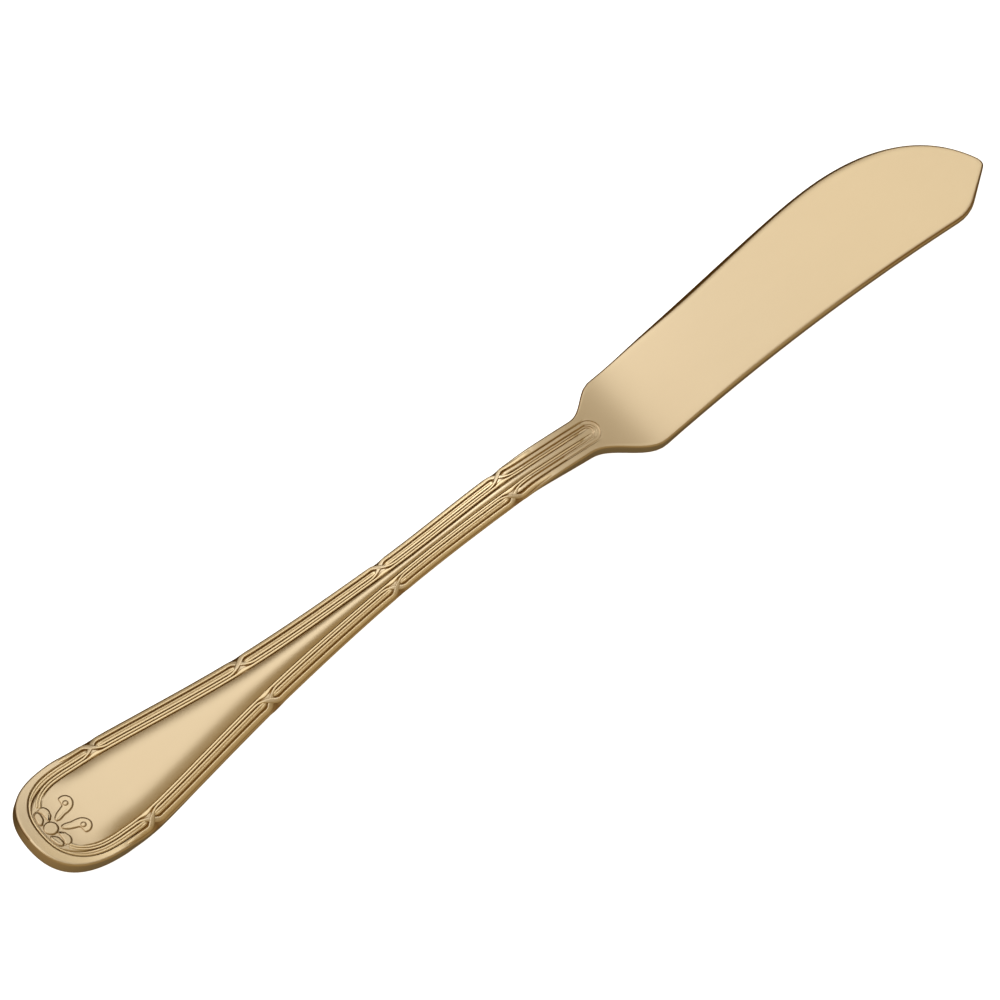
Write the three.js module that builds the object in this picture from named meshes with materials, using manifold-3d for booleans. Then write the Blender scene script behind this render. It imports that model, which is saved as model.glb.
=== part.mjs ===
// Butter spreader with a flat handle, struck from one piece of stainless steel and gold coated.
// Millimetres, +Z up. It lies face up on a table, and +X runs from the handle's end to the blade's tip.
// The border is a reed and crossed ribbon: on each side two strands cross at four ties, with a grooved
// reed in each eyelet between the ties. Every raised ornament is a solid of its own on the handle's blank.

import * as THREE from 'three';
import Module from 'manifold-3d';
import { mergeVertices } from 'three/addons/utils/BufferGeometryUtils.js';

// Handle lengths along X, from its end to the blade
const END_EYELET = 15.35;
const FIRST_EYELET = 23.2;
const SECOND_EYELET = 23.5;
const THIRD_EYELET = 21.0;
const NECK_EYELET = 16.65;
const NECK_LAND = 1.1;

// Handle widths: at its widest, at the four ties and at the neck
const END_WIDTH = 16.6;
const FIRST_TIE_WIDTH = 15.7;
const SECOND_TIE_WIDTH = 9.1;
const THIRD_TIE_WIDTH = 5.65;
const FOURTH_TIE_WIDTH = 5.6;
const NECK_WIDTH = 5.95;
const END_ROUND = 10.3;
const END_SQUARENESS = 0.64;

// Blade: length past the handle, and the distance of its outline from the handle's axis
const BLADE_LENGTH = 69.9;
const SHOULDER_RISE = 6.4;
const BACK_RISE = 11.0;
const BACK_PEAK_SETBACK = 22.3;
const BACK_FULLNESS = 0.81;
const NOSE_LENGTH = 11.0;
const NOSE_RISE = 5.6;
const HEEL_DROP = 7.35;
const EDGE_HOLLOW = 0.85;
const TOE_DROP = 7.0;
const TOE_SETBACK = 9.0;
const TOE_ROUND = 4.1;
const TIP_DROP = 2.3;
const TIP_BLUNT = 1.0;
const LEFT_FLARE = 6.7;
const LEFT_FLARE_SETBACK = 3.4;
const RIGHT_FLARE = 9.5;
const RIGHT_FLARE_SETBACK = 5.0;

// Heights of the top face at the ties and the neck, where the shaft arches off the table
const FIRST_TIE_HEIGHT = 2.3;
const SECOND_TIE_HEIGHT = 3.05;
const THIRD_TIE_HEIGHT = 4.55;
const FOURTH_TIE_HEIGHT = 5.75;
const NECK_HEIGHT = 2.75;
const ARCH_RUNOUT = 9.5;
const END_CURL = 3.45;
const CURL_LENGTH = 17.0;

// Thickness of the metal, and the height of the side walls beside the handle's convex back
const END_THICKNESS = 2.3;
const SHAFT_THICKNESS = 2.7;
const NECK_THICKNESS = 2.3;
const BLADE_THICKNESS = 1.6;
const TIP_THICKNESS = 1.1;
const END_WALL = 1.9;
const SHAFT_WALL = 1.4;
const BLADE_EDGE_ROUND = 0.25;

// Border, measured in from the handle's edge: a land, the outer strand, the reed, the inner strand, the rail
const EDGE_LAND = 0.34;
const STRAND_WIDTH = 0.42;
const REED_WIDTH = 0.78;
const RAIL_WIDTH = 0.36;
const GROOVE = 0.08;
const SHAFT_BAND_RATIO = 0.8;
const ORNAMENT_HEIGHT = 0.45;
const CREST_SHARE = 0.27;
const REED_CHANNEL = 0.12;
const REED_TIP_SHARE = 0.28;
const SEAT_GAP = 0.05;
const OVER_STEP = 0.03;
const TIE_HALF_LENGTH = 1.9;
const TIE_PINCH = 0.18;
const REED_SETBACK = 1.4;

// Handle's end: the rim grows wider and the reed thinner round the flower
const RIM_LAND = 0.1;
const RIM_GROWTH = 0.55;
const RIM_START = 5.0;
const RIM_FADE = 6.5;
const END_REED_WIDTH = 0.35;
const BORDER_STOP = 6.0;
const FIELD_BLEND = 2.4;

// Panel, and the flower on it
const PANEL_EDGE = 0.2;
const PANEL_CROWN = 0.25;
const PANEL_CAMBER = 0.06;
const FLOWER_FIELD = 0.12;
const FLOWER_FIELD_LENGTH = 10.0;
const BOSS_STATION = 3.3;
const BOSS_RADIUS = 0.92;
const BOSS_HEIGHT = 0.35;
const FLOWER_HEIGHT = 0.28;
const PETAL_LENGTH = 2.6;
const PETAL_WIDTH = 1.4;
const PAD_SHOULDER_INSET = 0.28;
const PAD_SHOULDER_HEIGHT = 0.8;
const SCROLL_STATION = 7.1;
const SCROLL_OFFSET = 2.09;
const SCROLL_RADIUS = 0.85;
const SCROLL_TURN = 1.25 * Math.PI;
const SCROLL_WIDTH = 0.95;
const SCROLL_ROOT_SHARE = 0.45;
const SCROLL_SWELL_END = 0.67;
const SCROLL_TIP_DROP = 0.4;
const SCROLL_BOW = 0.5;

// Facet lengths: along straight runs, round the end and the neck, and at the ties
const COARSE_STEP = 3;
const ROUND_STEP = 0.9;
const FINE_STEP = 0.45;
const END_FACET = 1.6;

// Stations that follow from the driving dimensions
const TIES = [END_EYELET];
for (const eyelet of [FIRST_EYELET, SECOND_EYELET, THIRD_EYELET]) {
  TIES.push(TIES.at(-1) + eyelet);
}
const ARCH_STATION = TIES[3] + NECK_EYELET;
const HANDLE_LENGTH = ARCH_STATION + NECK_LAND;
const LENGTH = HANDLE_LENGTH + BLADE_LENGTH;
const ARCH_END = HANDLE_LENGTH + ARCH_RUNOUT;
const PEAK = LENGTH - BACK_PEAK_SETBACK;
const TOE = LENGTH - TOE_SETBACK;
const LEFT_FLARE_START = HANDLE_LENGTH - LEFT_FLARE_SETBACK;
const RIGHT_FLARE_START = HANDLE_LENGTH - RIGHT_FLARE_SETBACK;
const LEFT_SHOULDER = LEFT_FLARE_START + LEFT_FLARE;
const RIGHT_SHOULDER = RIGHT_FLARE_START + RIGHT_FLARE;
const RELIEF = ORNAMENT_HEIGHT + SEAT_GAP;

const GOLD = { color: 0xd9bd86, metalness: 1, roughness: 0.34 };

const wasm = await Module();
wasm.setup();

/** Rises smoothly from 0 to 1 as t goes from 0 to 1, and stays there. */
function ease(t) {
  return 0.5 - 0.5 * Math.cos(Math.PI * THREE.MathUtils.clamp(t, 0, 1));
}

// Half of the handle's plan outline, from the middle of its end along the left side to the neck
const outline = new THREE.CurvePath();
const widest = new THREE.Vector3(END_ROUND, END_WIDTH / 2, 0);
outline.add(new THREE.CubicBezierCurve3(
  new THREE.Vector3(0, 0, 0),
  new THREE.Vector3(0, END_SQUARENESS * END_WIDTH / 2, 0),
  new THREE.Vector3((1 - END_SQUARENESS) * END_ROUND, END_WIDTH / 2, 0),
  widest,
));
outline.add(new THREE.CatmullRomCurve3([
  widest,
  new THREE.Vector3(TIES[0], FIRST_TIE_WIDTH / 2, 0),
  new THREE.Vector3(TIES[1], SECOND_TIE_WIDTH / 2, 0),
  new THREE.Vector3(TIES[2], THIRD_TIE_WIDTH / 2, 0),
  new THREE.Vector3(TIES[3], FOURTH_TIE_WIDTH / 2, 0),
  new THREE.Vector3(HANDLE_LENGTH, NECK_WIDTH / 2, 0),
], false, 'centripetal'));
const OUTLINE_LENGTH = outline.getLength();

/** Finds where a rising function reaches a value, by halving the interval. */
function solve(rising, value, low, high) {
  let [a, b] = [low, high];
  for (let i = 0; i < 40; i += 1) {
    const middle = (a + b) / 2;
    if (rising(middle) < value) a = middle;
    else b = middle;
  }
  return (a + b) / 2;
}

/** Distance along the outline at a station on X. */
function distanceAt(x) {
  return solve((s) => outline.getPoint(s / OUTLINE_LENGTH).x, x, 0, OUTLINE_LENGTH);
}

/** Plan point a given depth inside the outline. Negative distances lie on the right side. */
function inside(s, depth) {
  const t = Math.min(Math.abs(s) / OUTLINE_LENGTH, 1);
  const side = s < 0 ? -1 : 1;
  const point = outline.getPoint(t);
  const tangent = outline.getTangent(t);
  return new THREE.Vector2(point.x + tangent.y * depth, side * (point.y - tangent.x * depth));
}

const TIE_DISTANCES = TIES.map(distanceAt);
const ARCH_DISTANCE = distanceAt(ARCH_STATION);

/** Half width of the handle at a station, without the blade's flare. */
function halfWidth(x) {
  return outline.getPoint(distanceAt(x) / OUTLINE_LENGTH).y;
}

/** Height of a plan or side curve at a station. */
function heightOn(curve, x) {
  return curve.getPoint(solve((t) => curve.getPoint(t).x, x, 0, 1)).y;
}

// Side view of the handle's top face, without the turned-up end
const topLine = new THREE.SplineCurve([
  new THREE.Vector2(0, FIRST_TIE_HEIGHT),
  new THREE.Vector2(TIES[0], FIRST_TIE_HEIGHT),
  new THREE.Vector2(TIES[1], SECOND_TIE_HEIGHT),
  new THREE.Vector2(TIES[2], THIRD_TIE_HEIGHT),
  new THREE.Vector2(TIES[3], FOURTH_TIE_HEIGHT),
  new THREE.Vector2(HANDLE_LENGTH, NECK_HEIGHT),
  new THREE.Vector2(ARCH_END, BLADE_THICKNESS),
]);

/** Eases from one value to another between two stations. */
function blend(x, start, stop, from, to) {
  return THREE.MathUtils.lerp(from, to, ease((x - start) / (stop - start)));
}

/** Thickness of the metal, ornament included. */
function thickness(x) {
  if (x < TIES[3]) return blend(x, TIES[0], TIES[3], END_THICKNESS, SHAFT_THICKNESS);
  if (x < ARCH_STATION) return blend(x, TIES[3], ARCH_STATION, SHAFT_THICKNESS, NECK_THICKNESS);
  if (x < ARCH_END) return blend(x, ARCH_STATION, ARCH_END, NECK_THICKNESS, BLADE_THICKNESS);
  return THREE.MathUtils.lerp(BLADE_THICKNESS, TIP_THICKNESS, (x - ARCH_END) / (LENGTH - ARCH_END));
}

/** Height of the underside above the table, which the blade lies flat on. */
function underside(x) {
  if (x >= ARCH_END) return 0;
  const curl = END_CURL * Math.max(0, 1 - x / CURL_LENGTH) ** 2;
  return Math.max(0, heightOn(topLine, x) - thickness(x)) + curl;
}

/** Slope of the turned-up end. */
function curlSlope(x) {
  return 2 * END_CURL / CURL_LENGTH * Math.max(0, 1 - x / CURL_LENGTH);
}

/** Height of the finished top face. */
function top(x) {
  return underside(x) + thickness(x);
}

/** Height of the blank under the ornament, which comes up to the top face past the arch. */
function floor(x) {
  return top(x) - blend(x, ARCH_STATION + NECK_LAND / 2, HANDLE_LENGTH, RELIEF, 0);
}

/** Height of the side walls under the top face. They are as high as the metal is thick at the blade. */
function wallHeight(x) {
  if (x < TIES[3]) return blend(x, END_ROUND, TIES[0], END_WALL, SHAFT_WALL);
  return blend(x, TIES[3], HANDLE_LENGTH, SHAFT_WALL, thickness(HANDLE_LENGTH));
}

// Blade outline: each edge is a distance from the axis at a station
const peakPoint = new THREE.Vector2(PEAK, BACK_RISE);
const tipHead = new THREE.Vector2(LENGTH, TIP_BLUNT / 2 - TIP_DROP);
const tipFoot = new THREE.Vector2(LENGTH, -TIP_BLUNT / 2 - TIP_DROP);
const backLine = new THREE.CurvePath();
backLine.add(new THREE.CubicBezierCurve(
  new THREE.Vector2(LEFT_SHOULDER, SHOULDER_RISE),
  new THREE.Vector2((LEFT_SHOULDER + PEAK) / 2, (SHOULDER_RISE + BACK_RISE) / 2),
  new THREE.Vector2(THREE.MathUtils.lerp(LEFT_SHOULDER, PEAK, BACK_FULLNESS), BACK_RISE),
  peakPoint,
));
backLine.add(new THREE.CubicBezierCurve(
  peakPoint,
  new THREE.Vector2(PEAK + NOSE_LENGTH, BACK_RISE),
  new THREE.Vector2(LENGTH - NOSE_LENGTH / 3, NOSE_RISE),
  tipHead,
));
const toePoint = new THREE.Vector2(TOE, -TOE_DROP);
const toeCorner = new THREE.Vector2(TOE + TOE_ROUND / 2, -TOE_DROP);
const toeEnd = toeCorner.clone().lerp(tipFoot, TOE_ROUND / 2 / toeCorner.distanceTo(tipFoot));
const edgeLine = new THREE.CurvePath();
edgeLine.add(new THREE.QuadraticBezierCurve(
  new THREE.Vector2(RIGHT_SHOULDER, -HEEL_DROP),
  new THREE.Vector2((RIGHT_SHOULDER + TOE) / 2, 2 * EDGE_HOLLOW - (HEEL_DROP + TOE_DROP) / 2),
  toePoint,
));
edgeLine.add(new THREE.QuadraticBezierCurve(toePoint, toeCorner, toeEnd));
edgeLine.add(new THREE.LineCurve(toeEnd, tipFoot));

/** Edge on the blade's back, the left side. */
function leftEdge(x) {
  if (x >= LEFT_SHOULDER) return heightOn(backLine, x);
  if (x <= LEFT_FLARE_START) return halfWidth(x);
  return blend(x, LEFT_FLARE_START, LEFT_SHOULDER, halfWidth(LEFT_FLARE_START), SHOULDER_RISE);
}

/** Spreading edge, the right side. */
function rightEdge(x) {
  if (x >= RIGHT_SHOULDER) return heightOn(edgeLine, x);
  if (x <= RIGHT_FLARE_START) return -halfWidth(x);
  return -blend(x, RIGHT_FLARE_START, RIGHT_SHOULDER, halfWidth(RIGHT_FLARE_START), HEEL_DROP);
}

/** Closed geometry from triangles, turned so that its faces point out. */
function solid(points, triangles) {
  let volume = 0;
  for (const [a, b, c] of triangles) {
    volume += points[a].dot(new THREE.Vector3().crossVectors(points[b], points[c]));
  }
  const index = triangles.flatMap(([a, b, c]) => (volume < 0 ? [a, c, b] : [a, b, c]));
  const geometry = new THREE.BufferGeometry();
  geometry.setAttribute('position', new THREE.Float32BufferAttribute(points.flatMap((p) => p.toArray()), 3));
  geometry.setIndex(index);
  return geometry;
}

/** Skin over a row of sections that all have as many points, closed at both ends. */
function loft(sections) {
  const count = sections[0].length;
  const points = sections.flat();
  const triangles = [];
  for (let row = 0; row + 1 < sections.length; row += 1) {
    for (let i = 0; i < count; i += 1) {
      const a = row * count + i;
      const b = row * count + (i + 1) % count;
      triangles.push([a, b, b + count], [a, b + count, a + count]);
    }
  }
  const last = (sections.length - 1) * count;
  for (let i = 1; i + 1 < count; i += 1) {
    triangles.push([0, i + 1, i], [last, last + i, last + i + 1]);
  }
  return solid(points, triangles);
}

/** Values from low to high with a step that divides the run evenly, both ends included. */
function run(low, high, step) {
  const count = Math.max(1, Math.ceil((high - low) / step));
  return Array.from({ length: count + 1 }, (_, i) => low + (high - low) * i / count);
}

/** Distances along the outline, fine near the ties and coarse between them. */
function stripStations(from, to) {
  const stops = [from, to];
  for (const tie of TIE_DISTANCES) {
    stops.push(tie - TIE_HALF_LENGTH, tie + TIE_HALF_LENGTH);
  }
  const inRange = stops.filter((s) => s >= from && s <= to).sort((a, b) => a - b);
  const stations = [from];
  for (let i = 0; i + 1 < inRange.length; i += 1) {
    const middle = (inRange[i] + inRange[i + 1]) / 2;
    const nearTie = TIE_DISTANCES.some((tie) => Math.abs(middle - tie) < TIE_HALF_LENGTH);
    stations.push(...run(inRange[i], inRange[i + 1], nearTie ? FINE_STEP : COARSE_STEP).slice(1));
  }
  return stations;
}

/**
 * Raised moulding along a path. Each stop has a plan point, a width and a height, and the moulding's foot
 * follows the surface under it. The section is round-backed, or has a channel down its middle.
 */
function moulding(stops, surface, channel = 0, seat = SEAT_GAP) {
  const crest = 1 - channel / ORNAMENT_HEIGHT;
  const sections = stops.map((stop, i) => {
    const before = stops[Math.max(i - 1, 0)].at;
    const after = stops[Math.min(i + 1, stops.length - 1)].at;
    const across = new THREE.Vector2(before.y - after.y, after.x - before.x).normalize();
    const place = (share, rise) => {
      const p = stop.at.clone().addScaledVector(across, share * stop.width);
      return new THREE.Vector3(p.x, p.y, surface(p.x, p.y) + seat + rise * stop.height);
    };
    return [place(0, crest), place(-CREST_SHARE, 1), place(-0.5, 0), place(0.5, 0), place(CREST_SHARE, 1)];
  });
  return loft(sections);
}

/** Raised pad with a domed top over a plan outline that is full round its centre. */
function pad(centre, rim, height, surface) {
  const foot = rim.map((p) => new THREE.Vector3(p.x, p.y, surface(p.x, p.y) + SEAT_GAP));
  const brow = rim.map((p) => {
    const q = p.clone().lerp(centre, PAD_SHOULDER_INSET);
    return new THREE.Vector3(q.x, q.y, surface(q.x, q.y) + SEAT_GAP + height * PAD_SHOULDER_HEIGHT);
  });
  const base = surface(centre.x, centre.y) + SEAT_GAP;
  const points = [
    ...foot,
    ...brow,
    new THREE.Vector3(centre.x, centre.y, base),
    new THREE.Vector3(centre.x, centre.y, base + height),
  ];
  const n = rim.length;
  const triangles = [];
  for (let i = 0; i < n; i += 1) {
    const j = (i + 1) % n;
    triangles.push([i, j, n + j], [i, n + j, n + i], [j, i, 2 * n], [n + i, n + j, 2 * n + 1]);
  }
  return solid(points, triangles);
}

/** Joins two closed geometries into one body. */
function join(first, second) {
  const bodies = [first, second].map((geometry) => {
    const merged = mergeVertices(geometry, 1e-5);
    return new wasm.Manifold(new wasm.Mesh({
      numProp: 3,
      vertProperties: new Float32Array(merged.attributes.position.array),
      triVerts: new Uint32Array(merged.index.array),
    }));
  });
  const mesh = bodies[0].add(bodies[1]).getMesh();
  const geometry = new THREE.BufferGeometry();
  geometry.setAttribute('position', new THREE.BufferAttribute(new Float32Array(mesh.vertProperties), 3));
  geometry.setIndex(new THREE.BufferAttribute(new Uint32Array(mesh.triVerts), 1));
  return geometry;
}

/** Lies on the blank's floor. */
const onFloor = (x) => floor(x);

// Border offsets: the band narrows on the shaft, and the rim pushes it in round the end
/** Share of the full border width at a distance along the outline. */
function bandRatio(s) {
  const along = (Math.abs(s) - TIE_DISTANCES[1]) / (TIE_DISTANCES[2] - TIE_DISTANCES[1]);
  return THREE.MathUtils.lerp(1, SHAFT_BAND_RATIO, ease(along));
}

/** How much wider the rim is than a strand. */
function rimGrowth(s) {
  return RIM_GROWTH * (1 - ease((Math.abs(s) - RIM_START) / RIM_FADE));
}

const OUTER_STRAND = EDGE_LAND + STRAND_WIDTH / 2;
const REED_EDGE = EDGE_LAND + STRAND_WIDTH + GROOVE;
const INNER_STRAND = REED_EDGE + REED_WIDTH + GROOVE + STRAND_WIDTH / 2;
const RAIL = INNER_STRAND + STRAND_WIDTH / 2 + GROOVE + RAIL_WIDTH / 2;
const BAND = RAIL + RAIL_WIDTH / 2 + GROOVE;

/** Depth of a border line inside the outline. */
function depthOf(line, s) {
  return line * bandRatio(s) + rimGrowth(s);
}

/** Depth of a strand that starts on the outside or the inside and changes over at each tie. */
function strandDepth(s, startsOutside) {
  let swing = startsOutside ? -1 : 1;
  for (const tie of TIE_DISTANCES) {
    swing *= Math.cos(Math.PI * ease((s - tie + TIE_HALF_LENGTH) / (2 * TIE_HALF_LENGTH)));
  }
  const nearest = Math.min(...TIE_DISTANCES.map((tie) => Math.abs(s - tie)));
  const pinch = TIE_PINCH * (1 - ease(nearest / TIE_HALF_LENGTH));
  const middle = (OUTER_STRAND + INNER_STRAND) / 2 - pinch;
  return depthOf(middle + swing * (INNER_STRAND - OUTER_STRAND) / 2, s);
}

/** Stop of a moulding at a depth inside the outline. */
function stopAt(s, depth, width, height = ORNAMENT_HEIGHT) {
  return { at: inside(s, depth), width, height };
}

const ARCH_REACH = BAND - REED_EDGE;
const REED_STOP = ARCH_DISTANCE - ARCH_REACH;
const STRAND_STOP = REED_STOP - ARCH_REACH;
const STRAND_STOP_STATION = outline.getPoint(STRAND_STOP / OUTLINE_LENGTH).x;

/** One strand of a side's ribbon, from the flower or the rim to the neck. */
function strand(side, startsOutside) {
  const from = startsOutside ? TIE_DISTANCES[0] - TIE_HALF_LENGTH : BORDER_STOP;
  const stops = stripStations(from, STRAND_STOP).map((s) => {
    return stopAt(side * s, strandDepth(s, startsOutside), STRAND_WIDTH * bandRatio(s));
  });
  return moulding(stops, onFloor, 0, startsOutside ? SEAT_GAP + OVER_STEP : SEAT_GAP);
}

/** Two strands of one side, joined where they cross. */
function ribbon(side) {
  return join(strand(side, true), strand(side, false));
}

/** Reed in the eyelet between two ties, with rounded ends. */
function reed(side, eyelet) {
  const from = TIE_DISTANCES[eyelet] + REED_SETBACK;
  const to = TIE_DISTANCES[eyelet + 1] - REED_SETBACK;
  const stations = [from, from + REED_WIDTH / 4, ...run(from + REED_WIDTH, to - REED_WIDTH, COARSE_STEP),
    to - REED_WIDTH / 4, to];
  const stops = stations.map((s) => {
    const fromTip = Math.min(s - from, to - s);
    const round = Math.sin(Math.PI / 2 * Math.min(1, REED_TIP_SHARE + fromTip / REED_WIDTH));
    const ratio = bandRatio(s);
    return stopAt(side * s, depthOf(REED_EDGE + REED_WIDTH / 2, s), REED_WIDTH * ratio * round);
  });
  return moulding(stops, onFloor, REED_CHANNEL);
}

/** Flat rim round the handle's end. */
function endRim() {
  const reach = TIE_DISTANCES[0] - TIE_HALF_LENGTH - GROOVE;
  const stops = run(-reach, reach, ROUND_STEP).map((s) => {
    const width = EDGE_LAND - RIM_LAND + STRAND_WIDTH + rimGrowth(s);
    return stopAt(s, RIM_LAND + width / 2, width);
  });
  return moulding(stops, onFloor);
}

/** Reed round the handle's end, thin behind the flower. */
function endReed() {
  const reach = TIE_DISTANCES[0] - REED_SETBACK;
  const stops = run(-reach, reach, ROUND_STEP).map((s) => {
    const growth = rimGrowth(s) / RIM_GROWTH;
    const tip = Math.sin(Math.PI / 2 * Math.min(1, REED_TIP_SHARE + (reach - Math.abs(s)) / REED_WIDTH));
    const width = THREE.MathUtils.lerp(REED_WIDTH, END_REED_WIDTH, growth);
    return stopAt(s, REED_EDGE + rimGrowth(s) + width / 2, width * tip);
  });
  return moulding(stops, onFloor, REED_CHANNEL);
}

/** Thin rail between the ribbon and the panel. */
function rail(side) {
  const stops = run(BORDER_STOP, STRAND_STOP, COARSE_STEP).map((s) => {
    return stopAt(side * s, depthOf(RAIL, s), RAIL_WIDTH * bandRatio(s));
  });
  return moulding(stops, onFloor);
}

/** Arch across the neck: two legs along the border and a round head. */
function arch(line, width, from, headStation) {
  const legY = (x) => halfWidth(x) - line * SHAFT_BAND_RATIO;
  const radius = legY(headStation);
  const spring = headStation - radius;
  const legs = run(from, spring, COARSE_STEP).slice(0, -1);
  const plan = legs.map((x) => new THREE.Vector2(x, legY(x)));
  for (const turn of run(-Math.PI / 2, Math.PI / 2, Math.PI / 10)) {
    plan.push(new THREE.Vector2(spring + radius * Math.cos(turn), -radius * Math.sin(turn)));
  }
  plan.push(...legs.reverse().map((x) => new THREE.Vector2(x, -legY(x))));
  const stops = plan.map((at) => ({ at, width: width * SHAFT_BAND_RATIO, height: ORNAMENT_HEIGHT }));
  return moulding(stops, onFloor);
}

// Panel: a convex field inside the rails, which reaches under the flower at the end
const END_FIELD = REED_EDGE + RIM_GROWTH + END_REED_WIDTH + GROOVE;

/** Depth of the panel's edge inside the outline. */
function panelDepth(s) {
  return blend(s, BORDER_STOP - FIELD_BLEND, BORDER_STOP, END_FIELD, depthOf(BAND, s));
}

/** Half width and station of the panel at a distance along the outline. */
const panelRows = [
  ...run(END_FACET, BORDER_STOP, ROUND_STEP),
  ...run(BORDER_STOP, STRAND_STOP, COARSE_STEP).slice(1),
].map((s) => inside(s, panelDepth(s)));

/** Height of the panel's face over the blank at a share of its half width. It sinks towards the flower. */
function panelRise(x, half, share) {
  const face = PANEL_EDGE + (PANEL_CROWN + PANEL_CAMBER * half) * (1 - share * share);
  return blend(x, BOSS_STATION, FLOWER_FIELD_LENGTH, FLOWER_FIELD, face);
}

/** The convex panel. */
function panel() {
  const shares = [-1, -0.8, -0.5, 0, 0.5, 0.8, 1];
  const sections = panelRows.map((row) => {
    const foot = floor(row.x) + SEAT_GAP;
    const face = shares.map((share) => {
      return new THREE.Vector3(row.x, share * row.y, foot + panelRise(row.x, row.y, share));
    });
    return [new THREE.Vector3(row.x, row.y, foot), new THREE.Vector3(row.x, -row.y, foot), ...face];
  });
  return loft(sections);
}

/** Height of the panel's face at a plan point. */
function onPanel(x, y) {
  const after = Math.max(1, panelRows.findIndex((row) => row.x > x));
  const [a, b] = [panelRows[after - 1], panelRows[after]];
  const half = THREE.MathUtils.lerp(a.y, b.y, THREE.MathUtils.clamp((x - a.x) / (b.x - a.x), 0, 1));
  const share = THREE.MathUtils.clamp(y / half, -1, 1);
  return floor(x) + SEAT_GAP + panelRise(x, half, share);
}

/** Points of an ellipse in plan. */
function ellipse(centre, radiusX, radiusY, count) {
  return Array.from({ length: count }, (_, i) => {
    const turn = 2 * Math.PI * i / count;
    return new THREE.Vector2(centre.x + radiusX * Math.cos(turn), centre.y + radiusY * Math.sin(turn));
  });
}

/** Round boss in the middle of the flower. */
function boss() {
  const centre = new THREE.Vector2(BOSS_STATION, 0);
  return pad(centre, ellipse(centre, BOSS_RADIUS, BOSS_RADIUS, 16), BOSS_HEIGHT, onPanel);
}

/** Petal beside the boss. */
function petal(side) {
  const centre = new THREE.Vector2(BOSS_STATION, side * (BOSS_RADIUS + GROOVE + PETAL_LENGTH / 2));
  return pad(centre, ellipse(centre, PETAL_WIDTH / 2, PETAL_LENGTH / 2, 14), FLOWER_HEIGHT, onPanel);
}

/** Scroll that leaves the boss along the panel and curls outwards round an open eye. */
function scroll(side) {
  const eye = new THREE.Vector2(SCROLL_STATION, side * SCROLL_OFFSET);
  const root = new THREE.Vector2(BOSS_STATION + BOSS_RADIUS + GROOVE, side * BOSS_RADIUS / 2);
  const curl = run(-Math.PI / 2, SCROLL_TURN - Math.PI / 2, Math.PI / 8).map((turn) => {
    const spoke = new THREE.Vector2(Math.cos(turn), side * Math.sin(turn));
    return eye.clone().addScaledVector(spoke, SCROLL_RADIUS);
  });
  const stem = run(0, 1, 0.25).slice(0, -1).map((t) => {
    return root.clone().lerp(curl[0], t).add(new THREE.Vector2(0, side * SCROLL_BOW * t * (1 - t)));
  });
  const path = [...stem, ...curl];
  const stops = path.map((at, i) => {
    const t = i / (path.length - 1);
    const swell = Math.sin(Math.PI * Math.min(1, t / SCROLL_SWELL_END));
    const width = SCROLL_WIDTH * THREE.MathUtils.lerp(SCROLL_ROOT_SHARE, 1, swell);
    return { at, width, height: FLOWER_HEIGHT * (1 - SCROLL_TIP_DROP * t) };
  });
  return moulding(stops, onPanel);
}

/** Section of the handle's blank between two edges, square to the turned-up end and convex at the back. */
function blankSection(x, left, right) {
  const brow = floor(x);
  const foot = underside(x);
  const bulge = thickness(x) - wallHeight(x);
  const back = [-1, -0.6, 0, 0.6, 1].map((share) => {
    const y = share < 0 ? -share * right : share * left;
    return [y, foot + bulge * share * share];
  });
  const corners = [...back, [left, brow], [right, brow]];
  return corners.map(([y, z]) => new THREE.Vector3(x - curlSlope(x) * (brow - z), y, z));
}

/** Handle's blank, from its rounded end to the blade. */
function handle() {
  const roundStop = distanceAt(END_ROUND);
  const straightStop = distanceAt(RIGHT_FLARE_START);
  const distances = [
    ...run(END_FACET, roundStop, ROUND_STEP),
    ...run(roundStop, straightStop, COARSE_STEP).slice(1),
  ];
  const sections = distances.map((s) => {
    const p = inside(s, 0);
    return blankSection(p.x, p.y, -p.y);
  });
  for (const x of run(RIGHT_FLARE_START, HANDLE_LENGTH, FINE_STEP).slice(1)) {
    sections.push(blankSection(x, leftEdge(x), rightEdge(x)));
  }
  return loft(sections);
}

/** Section of the blade, with blunt rounded edges. */
function bladeSection(x) {
  const left = leftEdge(x);
  const right = rightEdge(x);
  const foot = underside(x);
  const brow = top(x);
  const round = Math.min(BLADE_EDGE_ROUND, thickness(x) / 3, (left - right) / 3);
  const corners = [
    [right + round, foot], [left - round, foot], [left, foot + round], [left, brow - round],
    [left - round, brow], [right + round, brow], [right, brow - round], [right, foot + round],
  ];
  return corners.map(([y, z]) => new THREE.Vector3(x, y, z));
}

/** Blade with its shoulders, from the handle to the tip. */
function blade() {
  const stations = [
    ...run(HANDLE_LENGTH, RIGHT_SHOULDER, ROUND_STEP),
    ...run(RIGHT_SHOULDER, PEAK, COARSE_STEP).slice(1),
    ...run(PEAK, TOE, COARSE_STEP).slice(1),
    ...run(TOE, LENGTH, ROUND_STEP).slice(1),
  ];
  return loft(stations.map(bladeSection));
}

// Assembly
const spreader = new THREE.Group();

/** Adds one named solid of the spreader. */
function add(name, geometry) {
  const mesh = new THREE.Mesh(geometry, new THREE.MeshStandardMaterial(GOLD));
  mesh.name = name;
  spreader.add(mesh);
}

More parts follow.
